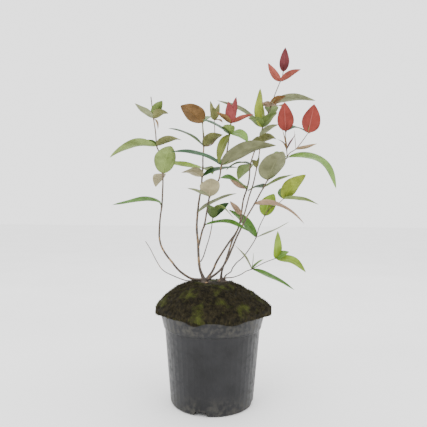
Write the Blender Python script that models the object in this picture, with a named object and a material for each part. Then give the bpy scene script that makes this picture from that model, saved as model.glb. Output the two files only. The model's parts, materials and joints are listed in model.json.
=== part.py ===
"""A potted tutsan, a small leggy shrub, in its round 15 cm nursery pot.

The origin is the middle of the pot's flat underside, +Z is up, and the front of the plant faces -Y.
Sizes are in millimetres until a mesh is made. The plant's routes are laid out as on a front elevation:
across (to the right), depth (away from the front) and height, as they line up from EYE.
"""

import math
import random
from dataclasses import dataclass

import bmesh
import bpy
from mathutils import Matrix, Vector
from mathutils.bvhtree import BVHTree

MM = 0.001
GAP = 0.3
SEED = 17

# The pot
POT_SEGMENTS = 48
POT_WALL = 1.2
POT_BASE = 1.6
FOOT_FLAT_RADIUS = 56.3
FOOT_RADIUS = 59.5
FOOT_ROUND = 5.5
STEP_HEIGHT = 106.0
STEP_RADIUS = 68.3
BAND_FOOT_RADIUS = 69.9
BAND_FOOT_HEIGHT = 107.4
RIM_RADIUS = 75.2
RIM_HEIGHT = 129.0
NOTCH_COUNT = 4
NOTCH_HEADING = -105.0
NOTCH_FOOT_WIDTH = 19.0
NOTCH_TOP_WIDTH = 15.0
NOTCH_HEIGHT = 6.0
NOTCH_INNER_RADIUS = 42.0

# The soil and the moss on it
SOIL_TOP = 170.0
SOIL_TOP_RADIUS = 22.0
MAT_RADIUS = 77.0
MAT_DROP = 1.2
MAT_THICKNESS = 5.0
MAT_LUMP = 1.3

# The front elevation of the plant is read from here
EYE_DISTANCE = 651.0
EYE_HEIGHT = 269.0

# Stems and leaves
STEM_SIDES = 5
STEM_STEP = 13.0
FOOT_FLARE = 0.7
FOOT_FLARE_LENGTH = 5.0
STUB_LENGTH = 9.0
CROWN_HEIGHT = 6.5
LEAF_STATIONS = (0.0, 0.1, 0.3, 0.56, 0.82)
LEAF_PEAK = 0.38
LEAF_THICKNESS_SHARE = 1 / 85
LEAF_LEAST_THICKNESS = 0.55
LEAF_TWIST = 9.0
LEAF_CLEARANCE = 0.5


@dataclass(frozen=True)
class Tuft:
    """A place where the moss mat hangs over the rim."""

    heading: float
    spread: float
    reach: float
    drop: float


@dataclass(frozen=True)
class Leaf:
    """One leaf: its place on the route, and the reach from there to its tip."""

    at: int
    reach: tuple
    width: float
    arch: float = 3.0
    face: float = 0.0
    fold: float = 14.0
    crest: float = 0.5


@dataclass(frozen=True)
class Twig:
    """A side twig inside a mass of leaves, from a place on its stem's route."""

    at: int
    girth: tuple
    route: tuple
    leaves: tuple = ()


@dataclass(frozen=True)
class Stem:
    """A stem from its foot to its tip. Its lengths are (node, first place, last place)."""

    girth: tuple
    route: tuple
    bare: tuple = ()
    leafy: tuple = ()
    leaves: tuple = ()
    twigs: tuple = ()
    crown: str = ""


TUFTS = (
    Tuft(heading=4, spread=24, reach=8.5, drop=5.0),
    Tuft(heading=180, spread=20, reach=5.5, drop=4.5),
    Tuft(heading=252, spread=9, reach=1.5, drop=5.0),
    Tuft(heading=290, spread=12, reach=1.5, drop=4.0),
    Tuft(heading=120, spread=26, reach=3.0, drop=3.0),
    Tuft(heading=60, spread=18, reach=2.0, drop=2.0),
)

# Each root crown: where it stands across and in depth, and its radius
CROWNS = {
    "root_crown_left": (-11.5, -2.5, 9.5),
    "root_crown_right": (13.0, 4.5, 8.0),
}

LEFT = Stem(
    crown="root_crown_left",
    girth=(3.6, 1.5),
    route=(
        (-13, -4, 173), (-28, -8, 174), (-38, -11, 178), (-50, -14, 187), (-60, -17, 199),
        (-68, -18, 209), (-75, -19, 221), (-78, -20, 234), (-78, -20, 246), (-77, -20, 263),
        (-75, -20, 278), (-74, -18, 296), (-74, -16, 326), (-79, -13, 355), (-83, -12, 366),
        (-85, -10, 387), (-88, -9, 406), (-90, -8, 421), (-92, -7, 437),
    ),
    bare=(("left_stem_arch", 0, 6), ("left_stem_upright", 6, 9)),
    leafy=(("left_foliage", 9, 18),),
    leaves=(
        Leaf(10, (-70, -6, 2), 24, 8, 14, crest=0.22),
        Leaf(12, (-13, 24, -18), 19, 3, 0),
        Leaf(12, (15, -34, 35), 31, 6, -15),
        Leaf(14, (-65, -12, -19), 24, 9, -18),
        Leaf(14, (38, -30, 4), 16, 5, -20),
        Leaf(14, (-13, -6, 8), 8, 1, -30),
        Leaf(16, (-25, -14, 18), 15, -2, -25, fold=30),
        Leaf(16, (15, -22, 20), 15, 3, -20),
        Leaf(16, (23, -14, 4), 14, 5, -25),
        Leaf(16, (7, -5, -17), 5, 3, 0),
        Leaf(16, (3, 24, 12), 14, 2, 0),
    ),
)

MIDDLE = Stem(
    crown="root_crown_left",
    girth=(4.4, 1.8),
    route=(
        (-13, 0, 173), (-15, 1, 178), (-19, 2, 189), (-21, 4, 206), (-22, 5, 226),
        (-24, 8, 247), (-23, 11, 270), (-21, 13, 288), (-18, 15, 307), (-17, 17, 322),
        (-16, 18, 335), (-16, 20, 349), (-15, 22, 366), (-16, 24, 384), (-17, 25, 400),
    ),
    bare=(("middle_stem", 0, 5),),
    leafy=(("middle_foliage", 5, 14),),
    leaves=(
        Leaf(6, (57, 14, 29), 22, 3, -22),
        Leaf(9, (-28, -30, 3), 22, 4, -20),
        Leaf(9, (52, 12, 15), 20, 4, 20),
        Leaf(10, (-64, -16, 10), 25, -3, 22),
        Leaf(10, (14, 40, -6), 22, 3, 0),
        Leaf(12, (-50, -14, 23), 20, 5, 20),
        Leaf(12, (27, -18, 14), 20, 4, -25),
        Leaf(14, (-30, -28, 18), 30, 3, -35),
        Leaf(14, (16, 25, 15), 24, 3, 0),
        Leaf(14, (4, -6, -27), 9, 2, 0),
    ),
    twigs=(
        Twig(
            at=12,
            girth=(1.6, 1.2),
            route=((-7, 20, 367), (-1, 18, 371), (1, 16, 378), (0, 13, 404)),
            leaves=(
                Leaf(4, (-6, -4, 27), 8, 0, -80),
                Leaf(4, (7, -4, 24), 9, 0, -80),
                Leaf(4, (12, -8, -5), 8, 2, 20),
                Leaf(4, (-1, -16, 15), 12, 1, 0),
            ),
        ),
    ),
)

FRONT = Stem(
    girth=(3.0, 1.8),
    route=(
        (-21, 1, 222), (-16, -4, 244), (-13, -7, 252), (-10, -12, 270), (-6, -18, 293),
        (1, -21, 307), (8, -24, 320), (11, -28, 339), (17, -30, 352), (20, -32, 367),
        (22, -35, 384), (24, -37, 400),
    ),
    bare=(("front_stem", 0, 1),),
    leafy=(("front_foliage", 1, 11),),
    leaves=(
        Leaf(2, (63, -22, -8), 22, 8, 15),
        Leaf(4, (-32, -6, 12), 10, 1, -20),
        Leaf(4, (2, -36, 24), 29, 3, 0),
        Leaf(7, (77, -14, 27), 30, 8, -32),
        Leaf(7, (-72, -12, 17), 22, 6, 22),
        Leaf(7, (9, 22, 10), 22, 3, 0),
        Leaf(10, (-39, -12, 18), 19, 2, 25),
        Leaf(10, (25, -24, -15), 20, 5, 25),
        Leaf(10, (-15, -16, -44), 18, 4, 0),
        Leaf(10, (-5, -24, 9), 18, 2, 0),
        Leaf(11, (-4, -6, 30), 14, 2, -80),
        Leaf(11, (7, -12, 35), 15, 2, -80),
        Leaf(11, (32, -10, 11), 9, 1, -30),
        Leaf(11, (-21, -8, 14), 9, 1, -30),
    ),
)

TALL = Stem(
    crown="root_crown_left",
    girth=(3.6, 1.3),
    route=(
        (-10, -2, 173), (-6, 0, 178), (0, 1, 187), (5, 3, 199), (14, 5, 214),
        (24, 7, 229), (32, 8, 240), (37, 9, 251), (40, 11, 267), (43, 13, 289),
        (48, 15, 305), (51, 17, 319), (53, 20, 341), (59, 23, 361), (66, 26, 381),
        (70, 27, 394), (75, 28, 408), (82, 29, 425), (87, 29, 441), (95, 29, 461),
        (98, 29, 469), (99, 29, 475),
    ),
    bare=(("tall_stem", 0, 7),),
    leafy=(("tall_lower_foliage", 7, 13), ("tall_top_foliage", 13, 21)),
    leaves=(
        Leaf(8, (-17, -10, 20), 10, 0, -30),
        Leaf(10, (-39, -30, 13), 26, 5, 25),
        Leaf(10, (-26, -14, 14), 10, -2, -30),
        Leaf(12, (-35, 16, -8), 16, 6, 10),
        Leaf(12, (-15, 45, -20), 24, 3, 0),
        Leaf(14, (25, -12, 15), 12, 3, -25),
        Leaf(15, (-6, -20, 51), 28, -2, -70),
        Leaf(15, (-23, -24, 9), 18, 3, -10),
        Leaf(15, (18, -22, 17), 18, 3, -10),
        Leaf(15, (-66, 10, 41), 14, 6, -20),
        Leaf(15, (-10, 42, 22), 26, 3, 0),
        Leaf(17, (19, -12, 11), 14, 3, -30),
        Leaf(17, (62, -10, 6), 20, 8, -22, crest=0.4),
        Leaf(17, (17, -28, -9), 24, 2, 0),
        Leaf(17, (-17, -14, 0), 12, 1, -30),
        Leaf(17, (6, 36, -9), 22, 3, 0),
        Leaf(19, (-19, -8, 24), 12, -2, -40),
        Leaf(19, (28, -8, 15), 12, 2, -35),
        Leaf(21, (2, -6, 33), 15.5, 0, 85),
        Leaf(21, (0, 14, 28), 14, 0, 85),
    ),
)

SLIM = Stem(
    crown="root_crown_right",
    girth=(3.2, 1.6),
    route=(
        (12, 4, 173), (12, 4, 180), (14, 3, 190), (19, 2, 203), (24, 1, 219),
        (28, 0, 231), (34, -1, 243), (39, -2, 256), (45, -3, 270), (51, -5, 293),
        (57, -6, 312), (62, -8, 336), (65, -9, 353), (67, -10, 372),
    ),
    bare=(("slim_stem", 0, 10),),
    leafy=(("slim_foliage", 10, 13),),
    leaves=(
        Leaf(11, (-8, -10, 10), 9, 2, -20),
        Leaf(11, (3, -8, 15), 6, 1, 0),
        Leaf(13, (-19, -10, -7), 20, 4, -20),
        Leaf(13, (21, -14, 3), 18, 5, -20),
        Leaf(13, (-3, 22, 6), 20, 3, 0),
    ),
)

VEE = Stem(
    girth=(1.8, 1.4),
    route=((-18, 0, 199), (-14, -1, 207), (-10, -1, 220), (-6, -1, 233), (-3, -2, 247), (-1, -3, 262)),
    bare=(("vee_stem", 0, 4),),
    leafy=(("vee_foliage", 4, 5),),
    leaves=(
        Leaf(5, (30, -16, 0), 14, 16, -15, crest=0.35),
        Leaf(5, (-5, -26, 19), 17, 3, 10),
        Leaf(5, (24, 20, 23), 18, 3, 20),
    ),
)

RIGHT = Stem(
    crown="root_crown_left",
    girth=(3.6, 1.6),
    route=(
        (-9, -7, 173), (-1, -8, 178), (7, -9, 184), (14, -10, 192), (21, -11, 204),
        (27, -12, 218), (33, -12, 233), (40, -13, 248), (48, -14, 264), (59, -16, 283),
        (68, -18, 300), (72, -18, 307), (78, -20, 318), (90, -23, 334), (106, -26, 351),
    ),
    bare=(("right_stem", 0, 8),),
    leafy=(("right_foliage", 8, 14),),
    leaves=(
        Leaf(9, (67, -26, -27), 22, 10, -22),
        Leaf(11, (-20, 30, -4), 20, 3, 20),
        Leaf(11, (40, -16, 18), 16, 1, 25),
        Leaf(12, (15, -42, 36), 39, 4, 0),
        Leaf(12, (7, 40, 20), 28, 4, 0),
        Leaf(14, (64, -26, -46), 26, 19, 22),
        Leaf(14, (-23, -14, 3), 14, 2, 25),
    ),
)

RED = Stem(
    girth=(1.5, 1.1),
    route=((106, -26, 352), (105, -26, 362), (104, -26, 372), (103, -26, 389)),
    leafy=(("red_foliage", 0, 3),),
    leaves=(
        Leaf(1, (-7, -6, 27), 8, 1, 0),
        Leaf(1, (-14, -6, 14), 4, 3, 0),
        Leaf(1, (12, -4, 22), 8, 0, 30),
        Leaf(3, (-3, -8, 40), 24, 0, 85),
        Leaf(3, (34, 12, 0), 17, 6, 20),
        Leaf(3, (0, 22, 33), 20, 0, 80),
    ),
    twigs=(
        Twig(
            at=0,
            girth=(1.4, 1.1),
            route=((110, -28, 358), (118, -30, 363), (127, -32, 374), (136, -35, 387)),
            leaves=(
                Leaf(2, (29, -8, 7), 8, -1, -30),
                Leaf(2, (-3, -3, 27), 2, 1, 0),
                Leaf(4, (7, -6, 40), 27, 0, 85),
                Leaf(4, (20, 12, 26), 16, 0, -60),
            ),
        ),
    ),
)

BACK = Stem(
    crown="root_crown_right",
    girth=(2.0, 1.1),
    route=(
        (15, 8, 173), (19, 10, 180), (26, 12, 185), (28, 13, 190), (34, 15, 198),
        (44, 18, 207), (54, 21, 221), (62, 24, 235), (66, 27, 249), (74, 30, 266),
        (82, 31, 278), (93, 33, 284), (101, 34, 291),
    ),
    bare=(("back_stem", 0, 6),),
    leafy=(("back_foliage", 6, 12),),
    leaves=(
        Leaf(7, (45, -14, 23), 14, -2, 5),
        Leaf(7, (-40, 14, 40), 22, 4, 25),
        Leaf(9, (16, 18, 33), 25, 3, 30),
        Leaf(12, (29, -16, 34), 27, 3, -40),
        Leaf(12, (48, -12, -8), 20, 3, -20),
        Leaf(12, (10, 30, 19), 22, 3, 0),
    ),
)

LOW = Stem(
    crown="root_crown_right",
    girth=(1.7, 1.1),
    route=(
        (15, 1, 173), (19, -2, 176), (29, -5, 177), (40, -9, 181), (48, -12, 186),
        (56, -14, 189), (71, -20, 197), (80, -23, 201), (91, -26, 205),
    ),
    bare=(("low_stem", 0, 4),),
    leafy=(("low_foliage", 4, 8),),
    leaves=(
        Leaf(5, (-25, -10, 35), 14, 2, 15),
        Leaf(5, (59, -16, -27), 16, 2, 15),
        Leaf(5, (2, -4, 24), 4, 3, 0),
        Leaf(5, (16, -8, 15), 9, 1, 30),
        Leaf(8, (0, -14, 40), 15, 2, 60),
        Leaf(8, (18, -6, 10), 12, 1, 60),
        Leaf(8, (40, -16, -18), 17, 6, 35),
    ),
)

STALK = Stem(
    girth=(1.8, 1.0),
    route=(
        (-30, -12, 169), (-31, -12, 171), (-40, -14, 172), (-54, -18, 177), (-72, -22, 186),
        (-82, -24, 200), (-91, -26, 217), (-98, -27, 228),
    ),
    bare=(("bare_stalk", 0, 7),),
)

STEMS = (LEFT, MIDDLE, FRONT, TALL, SLIM, VEE, RIGHT, RED, BACK, LOW, STALK)


def clear_scene():
    """Take out whatever the scene holds."""
    for thing in list(bpy.data.objects):
        bpy.data.objects.remove(thing, do_unlink=True)


def material(name, colour, roughness):
    """A Principled material with the part's colour and roughness."""
    made = bpy.data.materials.new(name)
    made.use_nodes = True
    shader = made.node_tree.nodes["Principled BSDF"]
    shader.inputs["Base Color"].default_value = (*colour, 1.0)
    shader.inputs["Roughness"].default_value = roughness
    shader.inputs["Metallic"].default_value = 0.0
    return made


def new_object(name, points, faces, skin=None):
    """An object from points in millimetres, with its faces turned outwards."""
    mesh = bpy.data.meshes.new(name)
    shape = bmesh.new()
    corners = [shape.verts.new(Vector(p) * MM) for p in points]
    for face in faces:
        shape.faces.new([corners[i] for i in face])
    bmesh.ops.recalc_face_normals(shape, faces=shape.faces)
    shape.to_mesh(mesh)
    shape.free()
    made = bpy.data.objects.new(name, mesh)
    bpy.context.scene.collection.objects.link(made)
    if skin:
        mesh.materials.append(skin)
    return made


def smooth_shading(thing, sharp_angle=35.0):
    """Shade a round piece smooth, with its corners kept sharp."""
    thing.data.shade_smooth()
    thing.data.set_sharp_from_angle(angle=math.radians(sharp_angle))


def combine(target, tools, operation, solver="EXACT"):
    """Join or cut the target by all the tools in one Boolean, then remove the tools."""
    group = bpy.data.collections.new(target.name + "_tools")
    bpy.context.scene.collection.children.link(group)
    for tool in tools:
        bpy.context.scene.collection.objects.unlink(tool)
        group.objects.link(tool)
    change = target.modifiers.new("combine", "BOOLEAN")
    change.operation = operation
    change.solver = solver
    change.operand_type = "COLLECTION"
    change.collection = group
    evaluated = target.evaluated_get(bpy.context.evaluated_depsgraph_get())
    joined = bpy.data.meshes.new_from_object(evaluated)
    target.modifiers.remove(change)
    old = target.data
    target.data = joined
    bpy.data.meshes.remove(old)
    for tool in list(group.objects):
        bpy.data.objects.remove(tool, do_unlink=True)
    bpy.data.collections.remove(group)


def tidy_mesh(thing):
    """Drop what came loose in a Boolean, and leave triangles facing outwards."""
    shape = bmesh.new()
    shape.from_mesh(thing.data)
    bmesh.ops.triangulate(shape, faces=shape.faces)
    remaining = set(shape.verts)
    islands = []
    while remaining:
        edge_of_search = [remaining.pop()]
        island = set(edge_of_search)
        while edge_of_search:
            for edge in edge_of_search.pop().link_edges:
                for end in edge.verts:
                    if end not in island:
                        island.add(end)
                        remaining.discard(end)
                        edge_of_search.append(end)
        islands.append(island)
    largest = max(islands, key=len)
    scraps = [v for island in islands if island is not largest for v in island]
    bmesh.ops.delete(shape, geom=scraps, context="VERTS")
    bmesh.ops.recalc_face_normals(shape, faces=shape.faces)
    shape.to_mesh(thing.data)
    shape.free()


def rings_to_solid(rings):
    """Points and faces of a closed skin over rings of equal count; a ring of one is a pole."""
    points = [p for ring in rings for p in ring]
    starts = [sum(len(ring) for ring in rings[:i]) for i in range(len(rings))]
    faces = []
    for i in range(len(rings) - 1):
        a, b = len(rings[i]), len(rings[i + 1])
        for k in range(max(a, b)):
            quad = [starts[i] + k % a, starts[i] + (k + 1) % a]
            quad += [starts[i + 1] + (k + 1) % b, starts[i + 1] + k % b]
            faces.append(list(dict.fromkeys(quad)))
    if len(rings[0]) > 1:
        faces.append(list(range(len(rings[0])))[::-1])
    if len(rings[-1]) > 1:
        faces.append([starts[-1] + k for k in range(len(rings[-1]))])
    return points, faces


def turned(name, outline_at, skin=None, segments=POT_SEGMENTS):
    """A solid turned about Z, whose outline (radius, height) may change with the heading."""
    outlines = [outline_at(360.0 * k / segments) for k in range(segments)]
    rings = []
    for row in range(len(outlines[0])):
        ring = []
        for k, outline in enumerate(outlines):
            heading = math.tau * k / segments
            radius, height = outline[row]
            ring.append((radius * math.cos(heading), radius * math.sin(heading), height))
        rings.append(ring if outlines[0][row][0] > 0 else ring[:1])
    return new_object(name, *rings_to_solid(rings), skin)


def pot_outside():
    """The pot's outer outline, from the middle of its underside to its rim."""
    foot = []
    for k in range(4):
        turn = math.radians(90.0 * k / 3)
        out = (FOOT_RADIUS - FOOT_FLAT_RADIUS) * math.sin(turn)
        foot.append((FOOT_FLAT_RADIUS + out, FOOT_ROUND * (1 - math.cos(turn))))
    wall = [(STEP_RADIUS, STEP_HEIGHT), (BAND_FOOT_RADIUS, BAND_FOOT_HEIGHT), (RIM_RADIUS, RIM_HEIGHT)]
    return [(0.0, 0.0), *foot, *wall]


def pot_inside(shrink=0.0):
    """The pot's inner outline, from the middle of its floor to its rim, drawn in by shrink."""
    inset = POT_WALL + shrink
    floor = POT_BASE + shrink
    return [
        (0.0, floor),
        (FOOT_FLAT_RADIUS - inset, floor),
        (FOOT_RADIUS - inset, FOOT_ROUND),
        (STEP_RADIUS - inset, STEP_HEIGHT),
        (BAND_FOOT_RADIUS - inset, BAND_FOOT_HEIGHT),
        (RIM_RADIUS - inset, RIM_HEIGHT),
    ]


def notch_blocks(name, grow):
    """The drainage notches in the pot's foot, larger by grow on each side."""
    blocks = []
    top = NOTCH_HEIGHT + grow
    slope = (NOTCH_FOOT_WIDTH - NOTCH_TOP_WIDTH) / 2 / NOTCH_HEIGHT
    below = -2.0
    inner = NOTCH_INNER_RADIUS - grow
    outer = FOOT_RADIUS + 6.0
    for k in range(NOTCH_COUNT):
        rings = []
        for radius in (inner, outer):
            wide = NOTCH_FOOT_WIDTH / 2 + grow - slope * below
            narrow = NOTCH_FOOT_WIDTH / 2 + grow - slope * top
            section = [(radius, -wide, below), (radius, wide, below), (radius, narrow, top), (radius, -narrow, top)]
            rings.append(section)
        block = new_object(f"{name}_{k}", *rings_to_solid(rings))
        heading = math.radians(NOTCH_HEADING + 360.0 * k / NOTCH_COUNT)
        block.data.transform(Matrix.Rotation(heading, 4, "Z"))
        blocks.append(block)
    return blocks


def make_pot(skin):
    """The thin-walled pot, with its stepped rim band and the notches under its foot."""
    pot = turned("pot", lambda heading: [*pot_outside(), (0.0, RIM_HEIGHT)], skin)
    above = (RIM_RADIUS - POT_WALL, RIM_HEIGHT + 10.0)
    inside = turned("pot_inside", lambda heading: [*pot_inside(), above, (0.0, above[1])])
    combine(inside, notch_blocks("notch_housing", POT_WALL), "DIFFERENCE")
    combine(pot, [inside], "DIFFERENCE")
    combine(pot, notch_blocks("notch", 0.0), "DIFFERENCE")
    tidy_mesh(pot)
    smooth_shading(pot)
    return pot


def hang(heading, quantity):
    """How much the tufts add to the mat's reach or drop at a heading."""
    total = 0.0
    for tuft in TUFTS:
        off = (heading - tuft.heading + 180.0) % 360.0 - 180.0
        total += getattr(tuft, quantity) * math.exp(-((off / tuft.spread) ** 2))
    return total


def make_soil(skin):
    """The soil that fills the pot, heaped up under a moss mat that laps over the rim."""
    lumps = random.Random(SEED)
    phases = [lumps.uniform(0, math.tau) for _ in range(6)]

    def lump(radius, heading):
        """A low swell of the mound, none where the stems stand."""
        turn = math.radians(heading)
        swell = math.sin(3 * turn + phases[0] + radius / 17) + math.sin(5 * turn + phases[1] - radius / 11)
        swell += 0.7 * math.sin(8 * turn + phases[2] + radius / 7)
        fade = min(1.0, max(0.0, (radius - SOIL_TOP_RADIUS) / 14))
        return MAT_LUMP * 0.5 * swell * fade

    def outline(heading):
        """The soil's outline at one heading, from its underside to the top of the mound."""
        reach = MAT_RADIUS + hang(heading, "reach")
        drop = MAT_DROP + hang(heading, "drop")
        seat = RIM_HEIGHT + GAP
        outside = RIM_RADIUS + GAP
        rows = pot_inside(shrink=GAP)
        rows += [(outside, seat), (outside + 0.2, seat - drop), (reach - 0.6, seat - drop * 0.8)]
        rows += [(reach, seat + MAT_THICKNESS * 0.5)]
        steepness = 1.9 - 0.4 * math.cos(math.radians(heading))
        edge_height = seat + MAT_THICKNESS
        for share in (0.95, 0.84, 0.7, 0.52, 0.32, 0.14, 0.0):
            radius = SOIL_TOP_RADIUS + share * (reach - SOIL_TOP_RADIUS)
            height = SOIL_TOP - (SOIL_TOP - edge_height) * share**steepness
            rows.append((radius, height + lump(radius, heading)))
        return [*rows, (0.0, SOIL_TOP)]

    soil = turned("soil_and_moss", outline, skin)
    combine(soil, notch_blocks("notch_bed", POT_WALL + GAP), "DIFFERENCE")
    tidy_mesh(soil)
    smooth_shading(soil)
    return soil


def placed(across, depth, height):
    """The real place of a point of the front elevation."""
    spread = 1 + depth / EYE_DISTANCE
    return Vector((across * spread, depth, EYE_HEIGHT + (height - EYE_HEIGHT) * spread))


class Path:
    """A smooth line through a route's places, with the girth of the stem along it."""

    def __init__(self, places, girth, flared=False):
        self.girth = girth
        self.flared = flared
        points = [placed(*place) for place in places]
        before = points[0] * 2 - points[1]
        after = points[-1] * 2 - points[-2]
        ends = [before, *points, after]
        self.points = []
        self.marks = []
        for i in range(len(points) - 1):
            p0, p1, p2, p3 = ends[i : i + 4]
            self.marks.append(len(self.points))
            steps = max(1, round((p2 - p1).length / STEM_STEP))
            for k in range(steps):
                t = k / steps
                bend = (p2 - p0) * t + (2 * p0 - 5 * p1 + 4 * p2 - p3) * t * t
                bend += (3 * p1 - p0 - 3 * p2 + p3) * t**3
                self.points.append(p1 + bend / 2)
        self.marks.append(len(self.points))
        self.points.append(points[-1])
        self.lengths = [0.0]
        for a, b in zip(self.points, self.points[1:]):
            self.lengths.append(self.lengths[-1] + (b - a).length)

    def mark(self, place):
        """How far along the path one of the route's places lies."""
        return self.lengths[self.marks[place]]

    def point(self, along):
        """The point at a distance along the path, or past an end of it."""
        for i in range(1, len(self.points)):
            if along <= self.lengths[i] or i == len(self.points) - 1:
                span = self.lengths[i] - self.lengths[i - 1]
                share = (along - self.lengths[i - 1]) / span
                return self.points[i - 1].lerp(self.points[i], share)

    def radius(self, along):
        """Half the stem's girth at a distance along the path, with the flare at its foot."""
        share = along / self.lengths[-1]
        radius = (self.girth[0] + (self.girth[1] - self.girth[0]) * share**0.8) / 2
        if self.flared:
            radius *= 1 + FOOT_FLARE * math.exp(-along / FOOT_FLARE_LENGTH)
        return radius

    def tube(self, start, end, sides=STEM_SIDES):
        """Points and faces of the solid stem between two distances."""
        inner = [s for s in self.lengths if start + 1.5 < s < end - 1.5]
        stations = [start, *inner, end]
        centres = [self.point(s) for s in stations]
        rings = []
        side = Vector((1.0, 0.0, 0.0))
        for i, centre in enumerate(centres):
            ahead = (self.point(stations[i] + 1.0) - self.point(stations[i] - 1.0)).normalized()
            side = (side - ahead * side.dot(ahead)).normalized()
            other = ahead.cross(side)
            radius = self.radius(stations[i])
            ring = []
            for k in range(sides):
                turn = math.tau * k / sides
                ring.append(centre + (side * math.cos(turn) + other * math.sin(turn)) * radius)
            rings.append(ring)
        return rings_to_solid(rings)


def blade(leaf, base, root_radius, chance):
    """Points and faces of one leaf, from its root inside the stem to its tip."""
    tip = base + Vector(leaf.reach) * (1 + base.y / EYE_DISTANCE)
    chord = tip - base
    length = chord.length
    along = chord.normalized()
    up = Vector((0, 0, 1)) - along * along.z
    front = Vector((0, -1, 0)) + along * along.y
    turn = math.radians(leaf.face)
    if up.length > 0.35:
        up.normalize()
        side = along.cross(up)
        towards = side if side.y <= 0 else -side
        upper = up * math.cos(turn) + towards * math.sin(turn)
        rise = up
    else:
        front.normalize()
        upper = front * math.sin(turn) + along.cross(front) * math.cos(turn)
        rise = front
    twist = math.radians(chance.uniform(-LEAF_TWIST, LEAF_TWIST))
    bend = math.log(0.5) / math.log(leaf.crest)
    peak = math.log(0.5) / math.log(LEAF_PEAK)
    fold = math.radians(leaf.fold)

    def middle(t):
        """A point of the midrib."""
        return base + chord * t + rise * (leaf.arch * math.sin(math.pi * t**bend))

    rings = []
    for t in LEAF_STATIONS:
        heading = (middle(min(1.0, t + 0.03)) - middle(max(0.0, t - 0.03))).normalized()
        normal = (upper - heading * upper.dot(heading)).normalized()
        normal = Matrix.Rotation(twist * t, 3, heading) @ normal
        side = heading.cross(normal)
        half = leaf.width / 2 * math.sin(math.pi * t**peak) ** 0.8
        half = max(half, root_radius * 0.55)
        thick = max(LEAF_LEAST_THICKNESS, length * LEAF_THICKNESS_SHARE) * (1 - 0.4 * t)
        lift = normal * (half * math.sin(fold))
        out = side * (half * math.cos(fold))
        centre = middle(t)
        rings.append([centre + lift - out, centre + normal * thick / 2, centre + lift + out, centre - normal * thick / 2])
    rings.append([tip])
    return rings_to_solid(rings)


class Space:
    """What is already built, for keeping each new leaf clear of other nodes."""

    def __init__(self):
        self.trees = {}

    def add(self, thing):
        """Remember an object's surface."""
        points = [v.co / MM for v in thing.data.vertices]
        faces = [tuple(p.vertices) for p in thing.data.polygons]
        self.trees[thing.name] = BVHTree.FromPolygons(points, faces)

    def touched(self, points, faces, own=()):
        """The name of a node that a solid touches or all but touches, or nothing."""
        shape = BVHTree.FromPolygons(points, faces)
        probes = list(points)
        for face in faces:
            corners = [Vector(points[i]) for i in face]
            probes.append(sum(corners, Vector()) / len(corners))
            probes.extend(a.lerp(b, 0.5) for a, b in zip(corners, corners[1:]))
        for name, tree in self.trees.items():
            if name in own:
                continue
            if shape.overlap(tree) or any(tree.find_nearest(p, LEAF_CLEARANCE)[0] for p in probes):
                return name
        return ""


def make_crown(name, paths, skin):
    """The woody foot that several stems share, flat on the soil, with a short stub of each."""
    across, depth, radius = CROWNS[name]
    floor = SOIL_TOP + GAP
    chance = random.Random(name)
    rings = []
    for share, height in ((1.0, 0.0), (0.86, 1.2), (0.6, 3.4), (0.33, CROWN_HEIGHT)):
        ring = []
        for k in range(12):
            turn = math.tau * k / 12
            reach = radius * share * chance.uniform(0.88, 1.0)
            ring.append((across + reach * math.cos(turn), depth + reach * math.sin(turn), floor + height))
        rings.append(ring)
    crown = new_object(name, *rings_to_solid(rings), skin)
    stubs = []
    for i, path in enumerate(paths):
        stubs.append(new_object(f"{name}_stub_{i}", *path.tube(0.0, STUB_LENGTH)))
    combine(crown, stubs, "UNION")
    tidy_mesh(crown)
    smooth_shading(crown, 50)
    return crown


def make_bare(stem, path, skin, space):
    """The bare lengths of a stem."""
    for name, first, last in stem.bare:
        start = path.mark(first) + GAP / 2
        if first == 0:
            start = STUB_LENGTH + GAP if stem.crown else 0.0
        length = new_object(name, *path.tube(start, path.mark(last) - GAP / 2), skin)
        smooth_shading(length, 70)
        space.add(length)


def grow(path, leaves, first, last, own, space, chance):
    """The leaves of one length of stem, leaving out any that would touch another node."""
    grown = []
    for leaf in leaves:
        if not first <= leaf.at <= last:
            continue
        along = path.mark(leaf.at)
        root = path.point(min(along, path.lengths[-1] - 0.4))
        points, faces = blade(leaf, root, path.radius(along), chance)
        hit = space.touched(points, faces, own)
        if hit:
            print(f"{own[0]}: the leaf at {leaf.at} reaching {leaf.reach} touches {hit}")
            continue
        grown.append((points, faces))
    return grown


def make_foliage(stem, path, skin, space):
    """The leafy lengths of a stem, each fused into one solid."""
    for index, (name, first, last) in enumerate(stem.leafy):
        chance = random.Random(name)
        start = path.mark(first) + (GAP / 2 if stem.bare else 0.0)
        end = path.mark(last) - (GAP / 2 if index + 1 < len(stem.leafy) else 0.0)
        own = (name,)
        top = last if index + 1 == len(stem.leafy) else last - 1
        parts = grow(path, stem.leaves, first, top, own, space, chance)
        for twig in stem.twigs:
            if first <= twig.at <= top:
                side = Path((stem.route[twig.at], *twig.route), twig.girth)
                parts.append(side.tube(0.0, side.lengths[-1], 5))
                parts += grow(side, twig.leaves, 0, len(twig.route), own, space, chance)
        foliage = new_object(name, *path.tube(start, end), skin)
        blades = [new_object(f"{name}_{i}", *part) for i, part in enumerate(parts)]
        combine(foliage, blades, "UNION", solver="MANIFOLD")
        tidy_mesh(foliage)
        space.add(foliage)
        print(f"{name}: {len(foliage.data.polygons)} triangles, {len(parts)} parts")


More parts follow.
